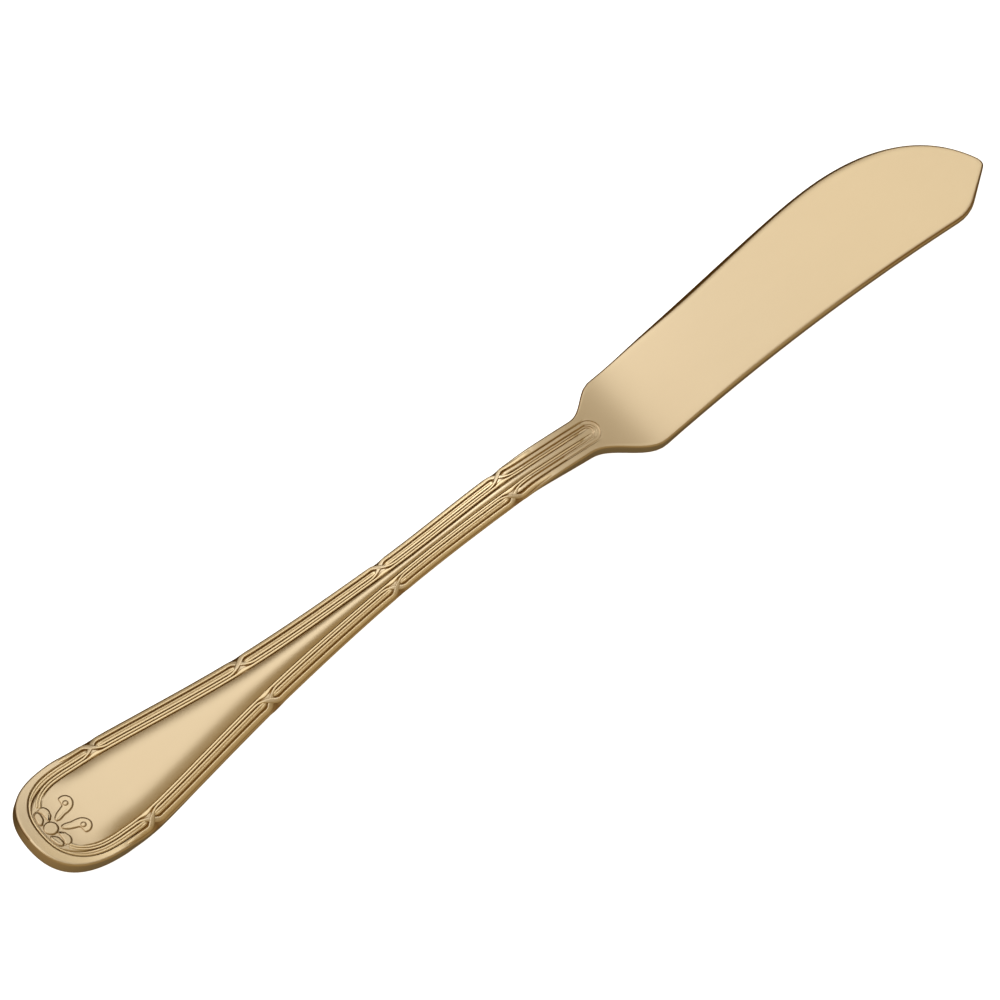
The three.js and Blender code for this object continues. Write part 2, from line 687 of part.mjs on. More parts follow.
add('blade', blade());
add('handle', handle());
add('panel', panel());
add('end_rim', endRim());
add('end_reed', endReed());
for (const [hand, side] of [['left', 1], ['right', -1]]) {
  add(`${hand}_ribbon`, ribbon(side));
  for (let eyelet = 0; eyelet < TIES.length - 1; eyelet += 1) {
    add(`${hand}_reed_${eyelet + 1}`, reed(side, eyelet));
  }
  add(`${hand}_rail`, rail(side));
  add(`${hand}_petal`, petal(side));
  add(`${hand}_scroll`, scroll(side));
}
const neckReedHead = ARCH_STATION - REED_WIDTH / 2;
const innerArchHead = ARCH_STATION - REED_WIDTH - GROOVE;
add('neck_arch', arch(REED_EDGE + REED_WIDTH / 2, REED_WIDTH, TIES[3] + REED_SETBACK, neckReedHead));
add('neck_inner_arch', arch(INNER_STRAND, STRAND_WIDTH, STRAND_STOP_STATION + GROOVE, innerArchHead));
add('rosette_boss', boss());

// Origin on the table under the middle of the whole spreader
const box = new THREE.Box3().setFromObject(spreader);
spreader.position.set(-(box.min.x + box.max.x) / 2, -(box.min.y + box.max.y) / 2, -box.min.z);
spreader.updateMatrixWorld(true);

export default spreader;
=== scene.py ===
"""Looks of a flat-handled butter spreader in satin gold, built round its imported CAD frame.

The blank (blade, handle, panel and end rim) is one seamless mesh, as the struck metal is. The reed and
crossed ribbon border and the neck arches are mouldings that Geometry Nodes sweep along paths on the blank's
floor, and the flower's boss, petals and scrolls are raised pads. Sizes are in millimetres, measured from the
middle of the handle's end along its axis.
"""

import logging
import math
from dataclasses import dataclass, field
from enum import Enum
from typing import Any, Callable

import bmesh
import bpy
import numpy as np
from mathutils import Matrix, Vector
from mathutils.bvhtree import BVHTree

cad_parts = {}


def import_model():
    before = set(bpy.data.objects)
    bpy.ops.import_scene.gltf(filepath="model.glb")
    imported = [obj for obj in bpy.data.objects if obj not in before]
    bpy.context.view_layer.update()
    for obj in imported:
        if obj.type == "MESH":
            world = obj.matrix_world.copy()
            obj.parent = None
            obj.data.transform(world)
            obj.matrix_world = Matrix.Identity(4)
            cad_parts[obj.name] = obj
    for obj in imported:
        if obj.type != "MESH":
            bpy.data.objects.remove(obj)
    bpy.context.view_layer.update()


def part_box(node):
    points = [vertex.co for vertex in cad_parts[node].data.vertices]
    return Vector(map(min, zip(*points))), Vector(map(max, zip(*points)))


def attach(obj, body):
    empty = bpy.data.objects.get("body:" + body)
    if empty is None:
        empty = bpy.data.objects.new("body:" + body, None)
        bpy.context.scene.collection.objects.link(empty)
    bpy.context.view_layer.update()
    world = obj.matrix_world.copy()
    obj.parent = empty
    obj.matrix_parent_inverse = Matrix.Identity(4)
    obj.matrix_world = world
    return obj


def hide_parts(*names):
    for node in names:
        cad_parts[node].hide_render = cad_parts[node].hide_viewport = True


MM = 0.001
# Sockets of a Mix node that mixes colours
MIX_FACTOR, MIX_A, MIX_B, MIX_RESULT = 0, 6, 7, 2
log = logging.getLogger("spreader")

Span = tuple[float, float]
Outline = tuple[tuple[float, float], ...]
Fade = tuple[tuple[float, ...], tuple[float, ...]]
Strip = tuple[np.ndarray, np.ndarray, np.ndarray]


class Side(Enum):
    """Side of the spreader, seen from its end with the decorated face up."""

    LEFT = 1
    RIGHT = -1

    @property
    def label(self) -> str:
        """Word for the side in a piece's or a node's name."""
        return self.name.lower()


def ease(t: np.ndarray | float) -> np.ndarray:
    """Smooth rise from 0 to 1 as t goes from 0 to 1."""
    return 0.5 - 0.5 * np.cos(np.pi * np.clip(t, 0.0, 1.0))


def blend(x: Any, start: float, stop: float, before: Any, after: Any) -> np.ndarray:
    """Smooth change from one value to another between two stations.

    Args:
        x: Station or stations.
        start: Station where the change starts.
        stop: Station where it ends.
        before: Value up to the start.
        after: Value from the stop on.

    Returns:
        The value at each station.
    """
    return before + (np.asarray(after) - before) * ease((np.asarray(x, float) - start) / (stop - start))


def ramp(x: Any, place: float, span: Span, before: Any, after: Any) -> np.ndarray:
    """Smooth change from one value to another over a span that is measured from a place."""
    return blend(x, place + span[0], place + span[1], before, after)


def right_of(ahead: np.ndarray) -> np.ndarray:
    """Plan directions square to others, on their right."""
    return np.stack([ahead[..., 1], -ahead[..., 0]], -1)


def bezier(points: list[tuple[float, float]], count: int) -> np.ndarray:
    """Points along a Bezier curve of any degree.

    Args:
        points: Control points.
        count: Number of points wanted.

    Returns:
        An array of plan points.
    """
    t = np.linspace(0.0, 1.0, count)[:, None]
    n = len(points) - 1
    weights = [math.comb(n, k) * t**k * (1 - t) ** (n - k) for k in range(n + 1)]
    return sum(w * np.asarray(p, float) for w, p in zip(weights, points))


def spline(points: list[tuple[float, float]], count: int, closed: bool = False) -> np.ndarray:
    """Points along a centripetal Catmull-Rom curve through the given points.

    Args:
        points: Points that the curve passes through.
        count: Points for each stretch.
        closed: Whether the curve returns to its start.

    Returns:
        An array of plan points.
    """
    p = np.asarray(points, float)
    before, after = 2 * p[:1] - p[1:2], 2 * p[-1:] - p[-2:-1]
    p = np.vstack([p[-1:], p, p[:2]]) if closed else np.vstack([before, p, after])
    t = np.linspace(0.0, 1.0, count, endpoint=False)[:, None]
    stretches = []
    for a, b, c, d in zip(p, p[1:], p[2:], p[3:]):
        k0, k1, k2 = (np.linalg.norm(v) ** 0.5 for v in (b - a, c - b, d - c))
        m1 = k1 * ((b - a) / k0 - (c - a) / (k0 + k1) + (c - b) / k1)
        m2 = k1 * ((c - b) / k1 - (d - b) / (k1 + k2) + (d - c) / k2)
        stretches.append(b + m1 * t + (3 * (c - b) - 2 * m1 - m2) * t**2 + (2 * (b - c) + m1 + m2) * t**3)
    return np.vstack(stretches) if closed else np.vstack(stretches + [p[-2:-1]])


def soften(line: np.ndarray, spread: float, step: float) -> np.ndarray:
    """Rounds the bends of a line that is given at even steps.

    Args:
        line: Values along the line.
        spread: How far the rounding reaches.
        step: Distance between two values.

    Returns:
        The rounded line, with its ends in place.
    """
    reach = int(4 * spread / step)
    weights = np.exp(-0.5 * (np.arange(-reach, reach + 1) * step / spread) ** 2)
    padded = np.pad(line, reach, mode="reflect", reflect_type="odd")
    return np.convolve(padded, weights / weights.sum(), "valid")


class Track:
    """Polyline in plan that is read by the distance along it."""

    def __init__(self, points: np.ndarray) -> None:
        """Measures the polyline and drops points that repeat.

        Args:
            points: Plan points in order.
        """
        steps = np.linalg.norm(np.diff(points, axis=0), axis=1)
        self.points = points[np.concatenate([[True], steps > 1e-9])]
        steps = np.linalg.norm(np.diff(self.points, axis=0), axis=1)
        self.distances = np.concatenate([[0.0], np.cumsum(steps)])
        self.length = float(self.distances[-1])

    def at(self, s: Any) -> np.ndarray:
        """Plan points at distances along the track."""
        return np.stack([np.interp(s, self.distances, self.points[:, k]) for k in (0, 1)], -1)

    def along(self, s: Any, reach: float = 0.06) -> np.ndarray:
        """Unit directions at distances along the track.

        Args:
            s: Distances along the track.
            reach: How far the chord reaches to each side.

        Returns:
            An array of plan directions.
        """
        s = np.asarray(s, float)
        chord = self.at(np.minimum(s + reach, self.length)) - self.at(np.maximum(s - reach, 0.0))
        return chord / np.linalg.norm(chord, axis=-1, keepdims=True)

    def where(self, x: Any) -> Any:
        """Distance along the track at a station on the axis."""
        return np.interp(x, self.points[:, 0], self.distances)


@dataclass
class Plan:
    """Outline of the spreader seen from above, and the stations along it."""

    ties: tuple[float, ...] = (15.35, 38.55, 62.05, 83.05)
    tie_widths: tuple[float, ...] = (16.16, 9.6, 6.02, 5.92)
    arch: float = 100.05
    neck: float = 100.8
    neck_width: float = 5.9
    end_width: float = 16.6
    end_round: float = 10.3
    end_squareness: float = 0.70
    length: float = 170.85
    shoulder_rise: float = 6.49
    back_rise: float = 10.62
    back_peak_setback: float = 21.95
    back_fullness: float = 0.805
    nose_length: float = 10.2
    nose_rise: float = 7.4
    heel_drop: float = 7.6
    edge_hollow: float = 1.06
    toe_drop: float = 7.28
    toe_setback: float = 8.75
    toe_round: float = 4.1
    tip_drop: float = 1.96
    tip_blunt: float = 1.0
    left_flare: Span = (97.1, 103.8)
    right_flare: Span = (96.5, 106.1)
    corner_softness: float = 0.35
    box_rise: float = 11.0
    box_length: float = 170.7
    handle_points: int = 400
    blade_points: int = 300
    flare_points: int = 120
    short_points: int = 60
    trace_step: float = 0.05
    handle: Track = field(init=False)
    tie_marks: list[float] = field(init=False)
    arch_mark: float = field(init=False)

    def __post_init__(self) -> None:
        """Draws half of the handle's outline, from the middle of its end to the neck."""
        half = self.end_width / 2
        square = self.end_squareness
        corner = [(0, square * half), ((1 - square) * self.end_round, half)]
        head = bezier([(0, 0), *corner, (self.end_round, half)], self.handle_points)
        stops = [(self.end_round, half)]
        stops += [(x, width / 2) for x, width in zip(self.ties, self.tie_widths)]
        stops.append((self.neck, self.neck_width / 2))
        self.handle = Track(np.vstack([head, spline(stops, self.handle_points)]))
        self.tie_marks = [float(self.handle.where(x)) for x in self.ties]
        self.arch_mark = float(self.handle.where(self.arch))

    def half_width(self, x: Any) -> np.ndarray:
        """Half width of the handle at a station, without the blade's flare."""
        return np.interp(x, self.handle.points[:, 0], self.handle.points[:, 1])

    def inside(self, s: Any, depth: Any) -> np.ndarray:
        """Plan points on the left at a depth inside the handle's outline.

        Args:
            s: Distances along the outline from the middle of the end.
            depth: Depth inside the outline at each distance.

        Returns:
            An array of plan points.
        """
        inward = right_of(self.handle.along(s))
        return self.handle.at(s) + inward * np.asarray(depth, float)[..., None]

    def shaft(self, start: float, stop: float) -> np.ndarray:
        """Left outline of the shaft between two stations."""
        x = np.linspace(start, stop, self.short_points)
        return np.stack([x, self.half_width(x)], -1)

    def flare(self, span: Span, rise: float) -> np.ndarray:
        """Curve of one shoulder, from the straight neck out to the blade."""
        x = np.linspace(*span, self.flare_points)
        return np.stack([x, blend(x, *span, self.half_width(span[0]), rise)], -1)

    def back(self, start: float) -> np.ndarray:
        """Left outline of the shaft and the blade, with its convex back and its nose.

        Args:
            start: Station on the shaft where it starts.

        Returns:
            An array of plan points that ends at the tip.
        """
        shoulder = (self.left_flare[1], self.shoulder_rise)
        peak = (self.length - self.back_peak_setback, self.back_rise)
        middle = ((shoulder[0] + peak[0]) / 2, (self.shoulder_rise + self.back_rise) / 2)
        lift = (shoulder[0] + self.back_fullness * (peak[0] - shoulder[0]), self.back_rise)
        brow = (peak[0] + self.nose_length, self.back_rise)
        nose = (self.length - self.nose_length / 3, self.nose_rise)
        head = (self.length, self.tip_blunt / 2 - self.tip_drop)
        return np.vstack([
            self.shaft(start, self.left_flare[0]),
            self.flare(self.left_flare, self.shoulder_rise),
            bezier([shoulder, middle, lift, peak], self.blade_points),
            bezier([peak, brow, nose, head], self.blade_points),
        ])

    def edge(self, start: float) -> np.ndarray:
        """Right outline of the shaft and the blade, with its hollow spreading edge and its toe.

        Args:
            start: Station on the shaft where it starts.

        Returns:
            An array of plan points that ends at the tip.
        """
        heel = (self.right_flare[1], -self.heel_drop)
        toe = (self.length - self.toe_setback, -self.toe_drop)
        hollow = ((heel[0] + toe[0]) / 2, 2 * self.edge_hollow - (self.heel_drop + self.toe_drop) / 2)
        corner = np.array([toe[0] + self.toe_round / 2, -self.toe_drop])
        foot = (self.length, -self.tip_blunt / 2 - self.tip_drop)
        way = np.array(foot) - corner
        toe_end = tuple(corner + way * (self.toe_round / 2 / np.linalg.norm(way)))
        return np.vstack([
            self.shaft(start, self.right_flare[0]) * (1, -1),
            self.flare(self.right_flare, self.heel_drop) * (1, -1),
            bezier([heel, hollow, toe], self.blade_points),
            bezier([toe, tuple(corner), toe_end], self.short_points),
            bezier([toe_end, foot], self.short_points),
        ])

    def edges(self, start: float) -> tuple[Track, Track]:
        """Left and right outline from a station on the shaft to the middle of the tip.

        Args:
            start: Station where both outlines start.

        Returns:
            The left and the right track, with softened corners.
        """
        left = np.vstack([self.back(start), [(self.length, -self.tip_drop)]])
        loop = Track(np.vstack([left, self.edge(start)[::-1]]))
        even = loop.at(np.arange(0.0, loop.length, self.trace_step))
        soft = np.stack([soften(line, self.corner_softness, self.trace_step) for line in even.T], -1)
        tip = int(round(Track(left).length / self.trace_step))
        return Track(soft[: tip + 1]), Track(soft[tip:][::-1])


@dataclass
class Profile:
    """Side view of the spreader: height of its top face and its underside over the table."""

    plan: Plan
    tie_heights: tuple[float, ...] = (2.2, 2.88, 4.56, 5.58)
    shaft_fall: Span = (93.0, 4.2)
    neck_height: float = 2.67
    heel: Outline = ((104.8, 1.99), (108.2, 1.72), (112.5, 1.6), (118.0, 1.55))
    arch_runout: float = 9.5
    end_curl: float = 3.45
    curl_length: float = 17.0
    end_thickness: float = 2.3
    shaft_thickness: float = 2.7
    neck_thickness: float = 2.3
    blade_thickness: float = 1.6
    tip_thickness: float = 1.1
    least_thickness: float = 0.8
    end_wall: float = 2.0
    field_wall: float = 1.4
    shaft_wall: float = 0.96
    field_wall_span: Span = (-3.0, 8.0)
    shaft_wall_span: Span = (-6.0, 10.0)
    softness: float = 1.2
    lead: float = 30.0
    margin: float = 12.0
    line_points: int = 200
    grid_step: float = 0.1
    runout: float = field(init=False)
    grid: np.ndarray = field(init=False)
    tops: np.ndarray = field(init=False)
    unders: np.ndarray = field(init=False)

    def __post_init__(self) -> None:
        """Works out both lines on a fine grid and softens their bends."""
        plan, level = self.plan, self.tie_heights[0]
        self.runout = plan.neck + self.arch_runout
        stations = [(-self.lead, level), (0.0, level), *zip(plan.ties, self.tie_heights)]
        stations += [self.shaft_fall, (plan.neck, self.neck_height), *self.heel]
        line = spline(stations, self.line_points)
        self.grid = np.arange(-self.margin, plan.length + self.margin, self.grid_step)
        thick = self.thickness(self.grid)
        curl = self.end_curl * np.maximum(0.0, 1 - self.grid / self.curl_length) ** 2
        under = np.maximum(0.0, np.interp(self.grid, line[:, 0], line[:, 1]) - thick)
        under = np.where(self.grid >= self.heel[2][0], 0.0, under) + curl
        self.tops = soften(under + thick, self.softness, self.grid_step)
        unders = np.minimum(soften(under, self.softness, self.grid_step), self.tops - self.least_thickness)
        self.unders = np.where(self.grid > self.heel[3][0], 0.0, unders)

    def thickness(self, x: Any) -> np.ndarray:
        """Thickness of the metal, ornament included.

        Args:
            x: Station or stations.

        Returns:
            The thickness at each station.
        """
        x = np.asarray(x, float)
        ties, arch = self.plan.ties, self.plan.arch
        shaft = blend(x, ties[0], ties[3], self.end_thickness, self.shaft_thickness)
        shaft = blend(x, ties[3], arch, shaft, self.neck_thickness)
        shaft = blend(x, arch, self.runout, shaft, self.blade_thickness)
        share = np.clip((x - self.runout) / (self.plan.length - self.runout), 0.0, 1.0)
        blade = self.blade_thickness + (self.tip_thickness - self.blade_thickness) * share
        return np.where(x < self.runout, shaft, blade)

    def top(self, x: Any) -> np.ndarray:
        """Height of the top face at a station."""
        return np.interp(x, self.grid, self.tops)

    def under(self, x: Any) -> np.ndarray:
        """Height of the underside at a station."""
        return np.interp(x, self.grid, self.unders)

    def wall(self, x: Any) -> np.ndarray:
        """Height of the side walls, which are as high as the metal is thick at the blade.

        Args:
            x: Station or stations.

        Returns:
            The height at each station.
        """
        x = np.asarray(x, float)
        ties = self.plan.ties
        low = ramp(x, ties[0], self.field_wall_span, self.end_wall, self.field_wall)
        low = ramp(x, ties[1], self.shaft_wall_span, low, self.shaft_wall)
        full = self.top(x) - self.under(x)
        return np.minimum(full, blend(x, ties[3], self.plan.neck, low, full))

    def tilt(self, x: Any) -> np.ndarray:
        """Slope of the turned-up end, which its walls stand square to."""
        left = np.maximum(0.0, 1 - np.asarray(x, float) / self.curl_length)
        return 2 * self.end_curl / self.curl_length * left


@dataclass
class Border:
    """Lines of the reed and crossed ribbon border, as depths inside the handle's outline.

    A span is measured along the outline from the tie, the arch or the start that its use names.
    """

    plan: Plan
    outer_strand: float = 0.60
    outer_half: float = 0.37
    land: float = 0.98
    reed: float = 1.52
    reed_half: float = 0.39
    reed_setback: float = 0.62
    reed_growth: Span = (-1.5, 5.0)
    reed_shift: Span = (3.0, 6.0)
    inner_strand: float = 2.18
    inner_half: float = 0.175
    rail: float = 2.57
    rail_half: float = 0.18
    band: float = 2.81
    shaft_ratio: float = 0.86
    relief: float = 0.26
    neck_relief: float = 0.09
    neck_relief_span: Span = (0.5, 7.0)
    arch_relief_span: Span = (-4.0, -0.6)
    tie_relief: float = 0.5
    tie_relief_reach: float = 1.1
    tie_half: float = 2.3
    tie_pinch: float = 0.2
    tie_swell: float = 0.14
    tie_swell_reach: float = 1.3
    rim_growth: float = 0.74
    rim_start: float = 4.5
    rim_fade: float = 8.5
    end_rim_span: Span = (-6.5, -1.0)
    neck_rim_span: Span = (1.0, 8.0)
    neck_growth: float = 0.14
    neck_growth_span: Span = (0.5, 4.0)
    rib_groove: float = 0.02
    roll: float = 0.5
    roll_reach: float = 2.2
    roll_power: float = 1.5
    roll_probe: float = 0.05
    end_reed_half: float = 0.13
    end_groove: float = 0.1
    end_margin: float = 0.1
    start: float = 6.0
    field_blend: float = 2.4

    def ratio(self, s: Any) -> np.ndarray:
        """Share of the border's full width at a distance along the outline."""
        marks = self.plan.tie_marks
        return blend(s, marks[1], marks[2], 1.0, self.shaft_ratio)

    def slimness(self, s: Any) -> np.ndarray:
        """0 where the border has its full width, and 1 on the shaft."""
        return (1 - self.ratio(s)) / (1 - self.shaft_ratio)

    def growth(self, s: Any) -> np.ndarray:
        """How much wider the land at the edge is round the end and at the neck."""
        end = blend(s, self.rim_start, self.rim_start + self.rim_fade, self.rim_growth, 0.0)
        return end + ramp(s, self.plan.tie_marks[3], self.neck_growth_span, 0.0, self.neck_growth)

    def depth(self, line: Any, s: Any) -> np.ndarray:
        """Depth of one of the border's lines at a distance along the outline."""
        return line * self.ratio(s) + self.growth(s)

    def rim(self, s: Any) -> np.ndarray:
        """1 where the edge is a plain flat land, round the end and at the neck, and 0 between the ties."""
        marks = self.plan.tie_marks
        end = ramp(s, marks[0], self.end_rim_span, 1.0, 0.0)
        return end + ramp(s, marks[3], self.neck_rim_span, 0.0, 1.0)

    def tie(self, s: Any, reach: float) -> np.ndarray:
        """1 at a tie, falling to 0 at a reach from it along the outline."""
        near = np.min([np.abs(np.asarray(s, float) - mark) for mark in self.plan.tie_marks], axis=0)
        return 1 - ease(near / reach)

    def reed_width(self, s: Any) -> np.ndarray:
        """Half width of the reed, which is thin round the handle's end."""
        return ramp(s, self.start, self.reed_growth, self.end_reed_half, self.reed_half * self.ratio(s))

    def reed_line(self, s: Any) -> np.ndarray:
        """Depth of the reed's middle."""
        near = self.land + self.growth(s) + self.end_groove + self.reed_width(s)
        return ramp(s, self.start, self.reed_shift, near, self.depth(self.reed, s))

    def sunk(self, s: Any) -> np.ndarray:
        """How far the band's floor lies under the top face. It is shallow at the ties."""
        return self.bed(s) * (1 - self.tie_relief * self.tie(s, self.tie_relief_reach))

    def bed(self, s: Any) -> np.ndarray:
        """How far the panel's edge lies under the top face. It comes up at the neck."""
        deep = ramp(s, self.plan.tie_marks[3], self.neck_relief_span, self.relief, self.neck_relief)
        return ramp(s, self.plan.arch_mark, self.arch_relief_span, deep, 0.0)

    def fall(self, depth: Any, s: Any) -> np.ndarray:
        """How far the border has rolled down towards the edge, at a depth inside the outline."""
        left = np.maximum(0.0, 1 - depth / (self.roll_reach * self.ratio(s)))
        return self.roll * self.ratio(s) ** 2 * (1 - self.rim(s)) * left**self.roll_power

    def lean(self, depth: Any, s: Any) -> np.ndarray:
        """Slope of that roll."""
        probe = self.roll_probe
        return (self.fall(depth - probe, s) - self.fall(depth + probe, s)) / (2 * probe)

    def field(self, s: Any) -> np.ndarray:
        """Depth of the panel's edge, which reaches out to the end reed behind the flower.

        Args:
            s: Distances along the outline.

        Returns:
            The depth at each distance.
        """
        behind = self.land + self.growth(s) + self.end_groove + 2 * self.end_reed_half + self.end_margin
        beside = self.depth(self.band + self.rib_groove * self.slimness(s), s)
        return blend(s, self.start - self.field_blend, self.start, behind, beside)

    def strand(self, s: np.ndarray, outside: bool) -> tuple[np.ndarray, np.ndarray]:
        """Path of a strand that changes sides at each tie.

        Args:
            s: Distances along the outline.
            outside: Whether the strand starts on the outside.

        Returns:
            Depths and half widths of the strand.
        """
        swing = np.full(len(s), -1.0 if outside else 1.0)
        for mark in self.plan.tie_marks:
            swing = swing * np.cos(np.pi * ease((s - mark + self.tie_half) / (2 * self.tie_half)))
        middle = (self.outer_strand + self.inner_strand) / 2 - self.tie_pinch * self.tie(s, self.tie_half)
        depth = self.depth(middle + swing * (self.inner_strand - self.outer_strand) / 2, s)
        half = (self.outer_half + self.inner_half) / 2 + swing * (self.inner_half - self.outer_half) / 2
        return depth, (half + self.tie_swell * self.tie(s, self.tie_swell_reach)) * self.ratio(s)


def linear(hex_colour: str) -> tuple[float, float, float, float]:
    """Linear colour of an sRGB hex value."""
    parts = [int(hex_colour[i : i + 2], 16) / 255 for i in (1, 3, 5)]
    return (*[c / 12.92 if c <= 0.04045 else ((c + 0.055) / 1.055) ** 2.4 for c in parts], 1.0)


def add(tree: bpy.types.NodeTree, kind: str, links: dict[Any, Any] | None = None,
        **settings: Any) -> bpy.types.Node:
    """Adds a node to a shader or geometry tree.

    Args:
        tree: Tree that gets the node.
        kind: Blender's name of the node type.
        links: Sockets or constants for the node's inputs, by name or number.
        settings: Properties of the node.

    Returns:
        The new node.
    """
    node = tree.nodes.new(kind)
    for name, value in settings.items():
        setattr(node, name, value)
    for key, value in (links or {}).items():
        if isinstance(value, bpy.types.NodeSocket):
            tree.links.new(value, node.inputs[key])
        else:
            node.inputs[key].default_value = value
    return node


@dataclass(frozen=True)
class SatinGold:
    """Gold-coated stainless steel, finely satin brushed along its length.

    It gives the eye a pale warm metal with a wide soft reflection, a painted highlight on the crests and a
    painted brown shade in the struck lines and hollows. The relief of a surface says which: 0 for the painted
    shade of a struck line, 1 on a plain face and more for the painted highlight on a crest.
    """

    slot: str = "satin_gold"
    face: str = "#EBDCBE"
    warm: str = "#E8D7B8"
    # Painted highlight colour, mixed in where the relief is over 1
    crest: str = "#FBE9C3"
    # Painted brown shade colour, mixed in where the relief is under 1
    recess_shade: str = "#9C763F"
    highlight_relief: Span = (1.0, 1.5)
    recess_relief: Span = (0.15, 0.75)
    roughness: float = 0.36
    recess_roughness: float = 0.42
    grain_roughness: float = 0.03
    grain_width: float = 0.12
    grain_length: float = 5.0
    grain_depth: float = 0.0006
    cloud: float = 18.0

    def build(self) -> bpy.types.Material:
        """Makes the finish as a node material.

        Returns:
            The material that every piece of the spreader takes.
        """
        material = bpy.data.materials.new("gold_coated_stainless_steel_satin")
        material.use_nodes = True
        tree = material.node_tree
        tree.nodes.clear()
        place = add(tree, "ShaderNodeTexCoord").outputs["Object"]
        # The brush leaves lines about 0.02 mm apart. They are drawn six times as wide, to show at all.
        along, across = 1 / (self.grain_length * MM), 1 / (self.grain_width * MM)
        lay = add(tree, "ShaderNodeMapping", {"Vector": place, "Scale": (along, across, across)})
        grain = add(tree, "ShaderNodeTexNoise", {"Vector": lay.outputs[0], "Scale": 1.0, "Detail": 3.0,
                                                 "Roughness": 0.6}).outputs["Fac"]
        # Slow drift of the coating's thickness over a finger's width
        drift = add(tree, "ShaderNodeTexNoise",
                    {"Vector": place, "Scale": 1 / (self.cloud * MM), "Detail": 2.0})
        relief = add(tree, "ShaderNodeAttribute", attribute_name="relief").outputs["Fac"]
        tint = add(tree, "ShaderNodeMix", {MIX_FACTOR: drift.outputs["Fac"], MIX_A: linear(self.face),
                                           MIX_B: linear(self.warm)}, data_type="RGBA")
        # Relief over 1 mixes in the painted highlight
        low, high = self.highlight_relief
        crest_shading = add(tree, "ShaderNodeMapRange", {"Value": relief, "From Min": low, "From Max": high})
        bright = add(tree, "ShaderNodeMix", {MIX_FACTOR: crest_shading.outputs[0], MIX_A: tint.outputs[MIX_RESULT],
                                             MIX_B: linear(self.crest)}, data_type="RGBA")
        # Relief under 1 mixes in the painted brown shade
        low, high = self.recess_relief
        raised = add(tree, "ShaderNodeMapRange", {"Value": relief, "From Min": low, "From Max": high},
                     interpolation_type="SMOOTHSTEP").outputs[0]
        colour = add(tree, "ShaderNodeMix", {MIX_FACTOR: raised, MIX_A: linear(self.recess_shade),
                                             MIX_B: bright.outputs[MIX_RESULT]}, data_type="RGBA")
        matt = add(tree, "ShaderNodeMapRange", {"Value": raised, "To Min": self.recess_roughness,
                                                "To Max": self.roughness})
        uneven = add(tree, "ShaderNodeMapRange", {"Value": grain, "To Min": -self.grain_roughness,
                                                  "To Max": self.grain_roughness})
        rough = add(tree, "ShaderNodeMath", {0: matt.outputs[0], 1: uneven.outputs[0]}, operation="ADD")
        bump = add(tree, "ShaderNodeBump",
                   {"Height": grain, "Distance": self.grain_depth * MM, "Strength": 1.0})
        shader = add(tree, "ShaderNodeBsdfPrincipled",
                     {"Base Color": colour.outputs[MIX_RESULT], "Roughness": rough.outputs[0],
                      "Normal": bump.outputs[0], "Metallic": 1.0})
        add(tree, "ShaderNodeOutputMaterial", {"Surface": shader.outputs[0]})
        return material


@dataclass
class Setting:
    """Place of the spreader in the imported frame, and what every piece of it shares."""

    origin: Vector
    finish: SatinGold
    material: bpy.types.Material

    def metres(self, points: np.ndarray) -> np.ndarray:
        """Points of the frame in metres, from millimetres along the spreader."""
        return np.asarray(points, float) * MM + np.asarray(self.origin)

    def dress(self, name: str, mesh: bpy.types.Mesh, nodes: list[str]) -> bpy.types.Object:
        """Makes a finished piece of a mesh in the frame.

        Args:
            name: Name of the piece.
            mesh: Its mesh, in metres in the frame.
            nodes: CAD nodes that it stands for.

        Returns:
            The piece.
        """
        piece = bpy.data.objects.new(name, mesh)
        bpy.context.scene.collection.objects.link(piece)
        mesh.materials.clear()
        mesh.materials.append(self.material)
        mesh.shade_smooth()
        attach(piece, "root")
        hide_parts(*nodes)
        log.info("%s: %d faces, for %s", name, len(mesh.polygons), ", ".join(nodes))
        return piece


def shell(name: str, points: np.ndarray, relief: np.ndarray, faces: list[tuple[int, ...]]) -> bpy.types.Mesh:
    """Closed mesh with its doubles merged and its faces outwards.

    Args:
        name: Name of the mesh.
        points: Vertices in metres.
        relief: Relief at each vertex, which sets the finish's painted shade and highlight.
        faces: Corner numbers of each face.

    Returns:
        The mesh, with the relief as an attribute.
    """
    mesh = bpy.data.meshes.new(name)
    mesh.from_pydata([tuple(p) for p in points], [], faces)
    mesh.attributes.new("relief", "FLOAT", "POINT").data.foreach_set("value", np.asarray(relief, np.float32))
    work = bmesh.new()
    work.from_mesh(mesh)
    bmesh.ops.remove_doubles(work, verts=work.verts, dist=1e-7)
    bmesh.ops.dissolve_degenerate(work, edges=work.edges, dist=1e-8)
    bmesh.ops.recalc_face_normals(work, faces=work.faces)
    work.to_mesh(mesh)
    work.free()
    return mesh


@dataclass
class Row:
    """Place of one cross row of the blank on one side, and the depths of its land and its band.

    The point lies on the outline and the axis on the spine. The edge is the run and drop of the blade's own
    rounding, which rows of the handle don't have.
    """

    point: np.ndarray
    inward: np.ndarray
    axis: np.ndarray
    mark: float
    land: float
    band: float
    edge: np.ndarray | None = None

    @property
    def x(self) -> float:
        """Station of the row at the outline."""
        return float(self.point[0])

    @property
    def plain(self) -> bool:
        """Whether the row lies past the seam, where the border gives way to the blade."""
        return self.edge is not None


@dataclass
class Cut:
    """Sizes of the edge and the border where a row cuts them."""

    sunk: float
    rim: float
    notch: float
    nick: float
    run: float
    drop: float
    grown: float
    land: float
    band: float
    gutter: float

    @property
    def low(self) -> float:
        """Height of the land, from the top face."""
        return -self.sunk * (1 - self.rim)


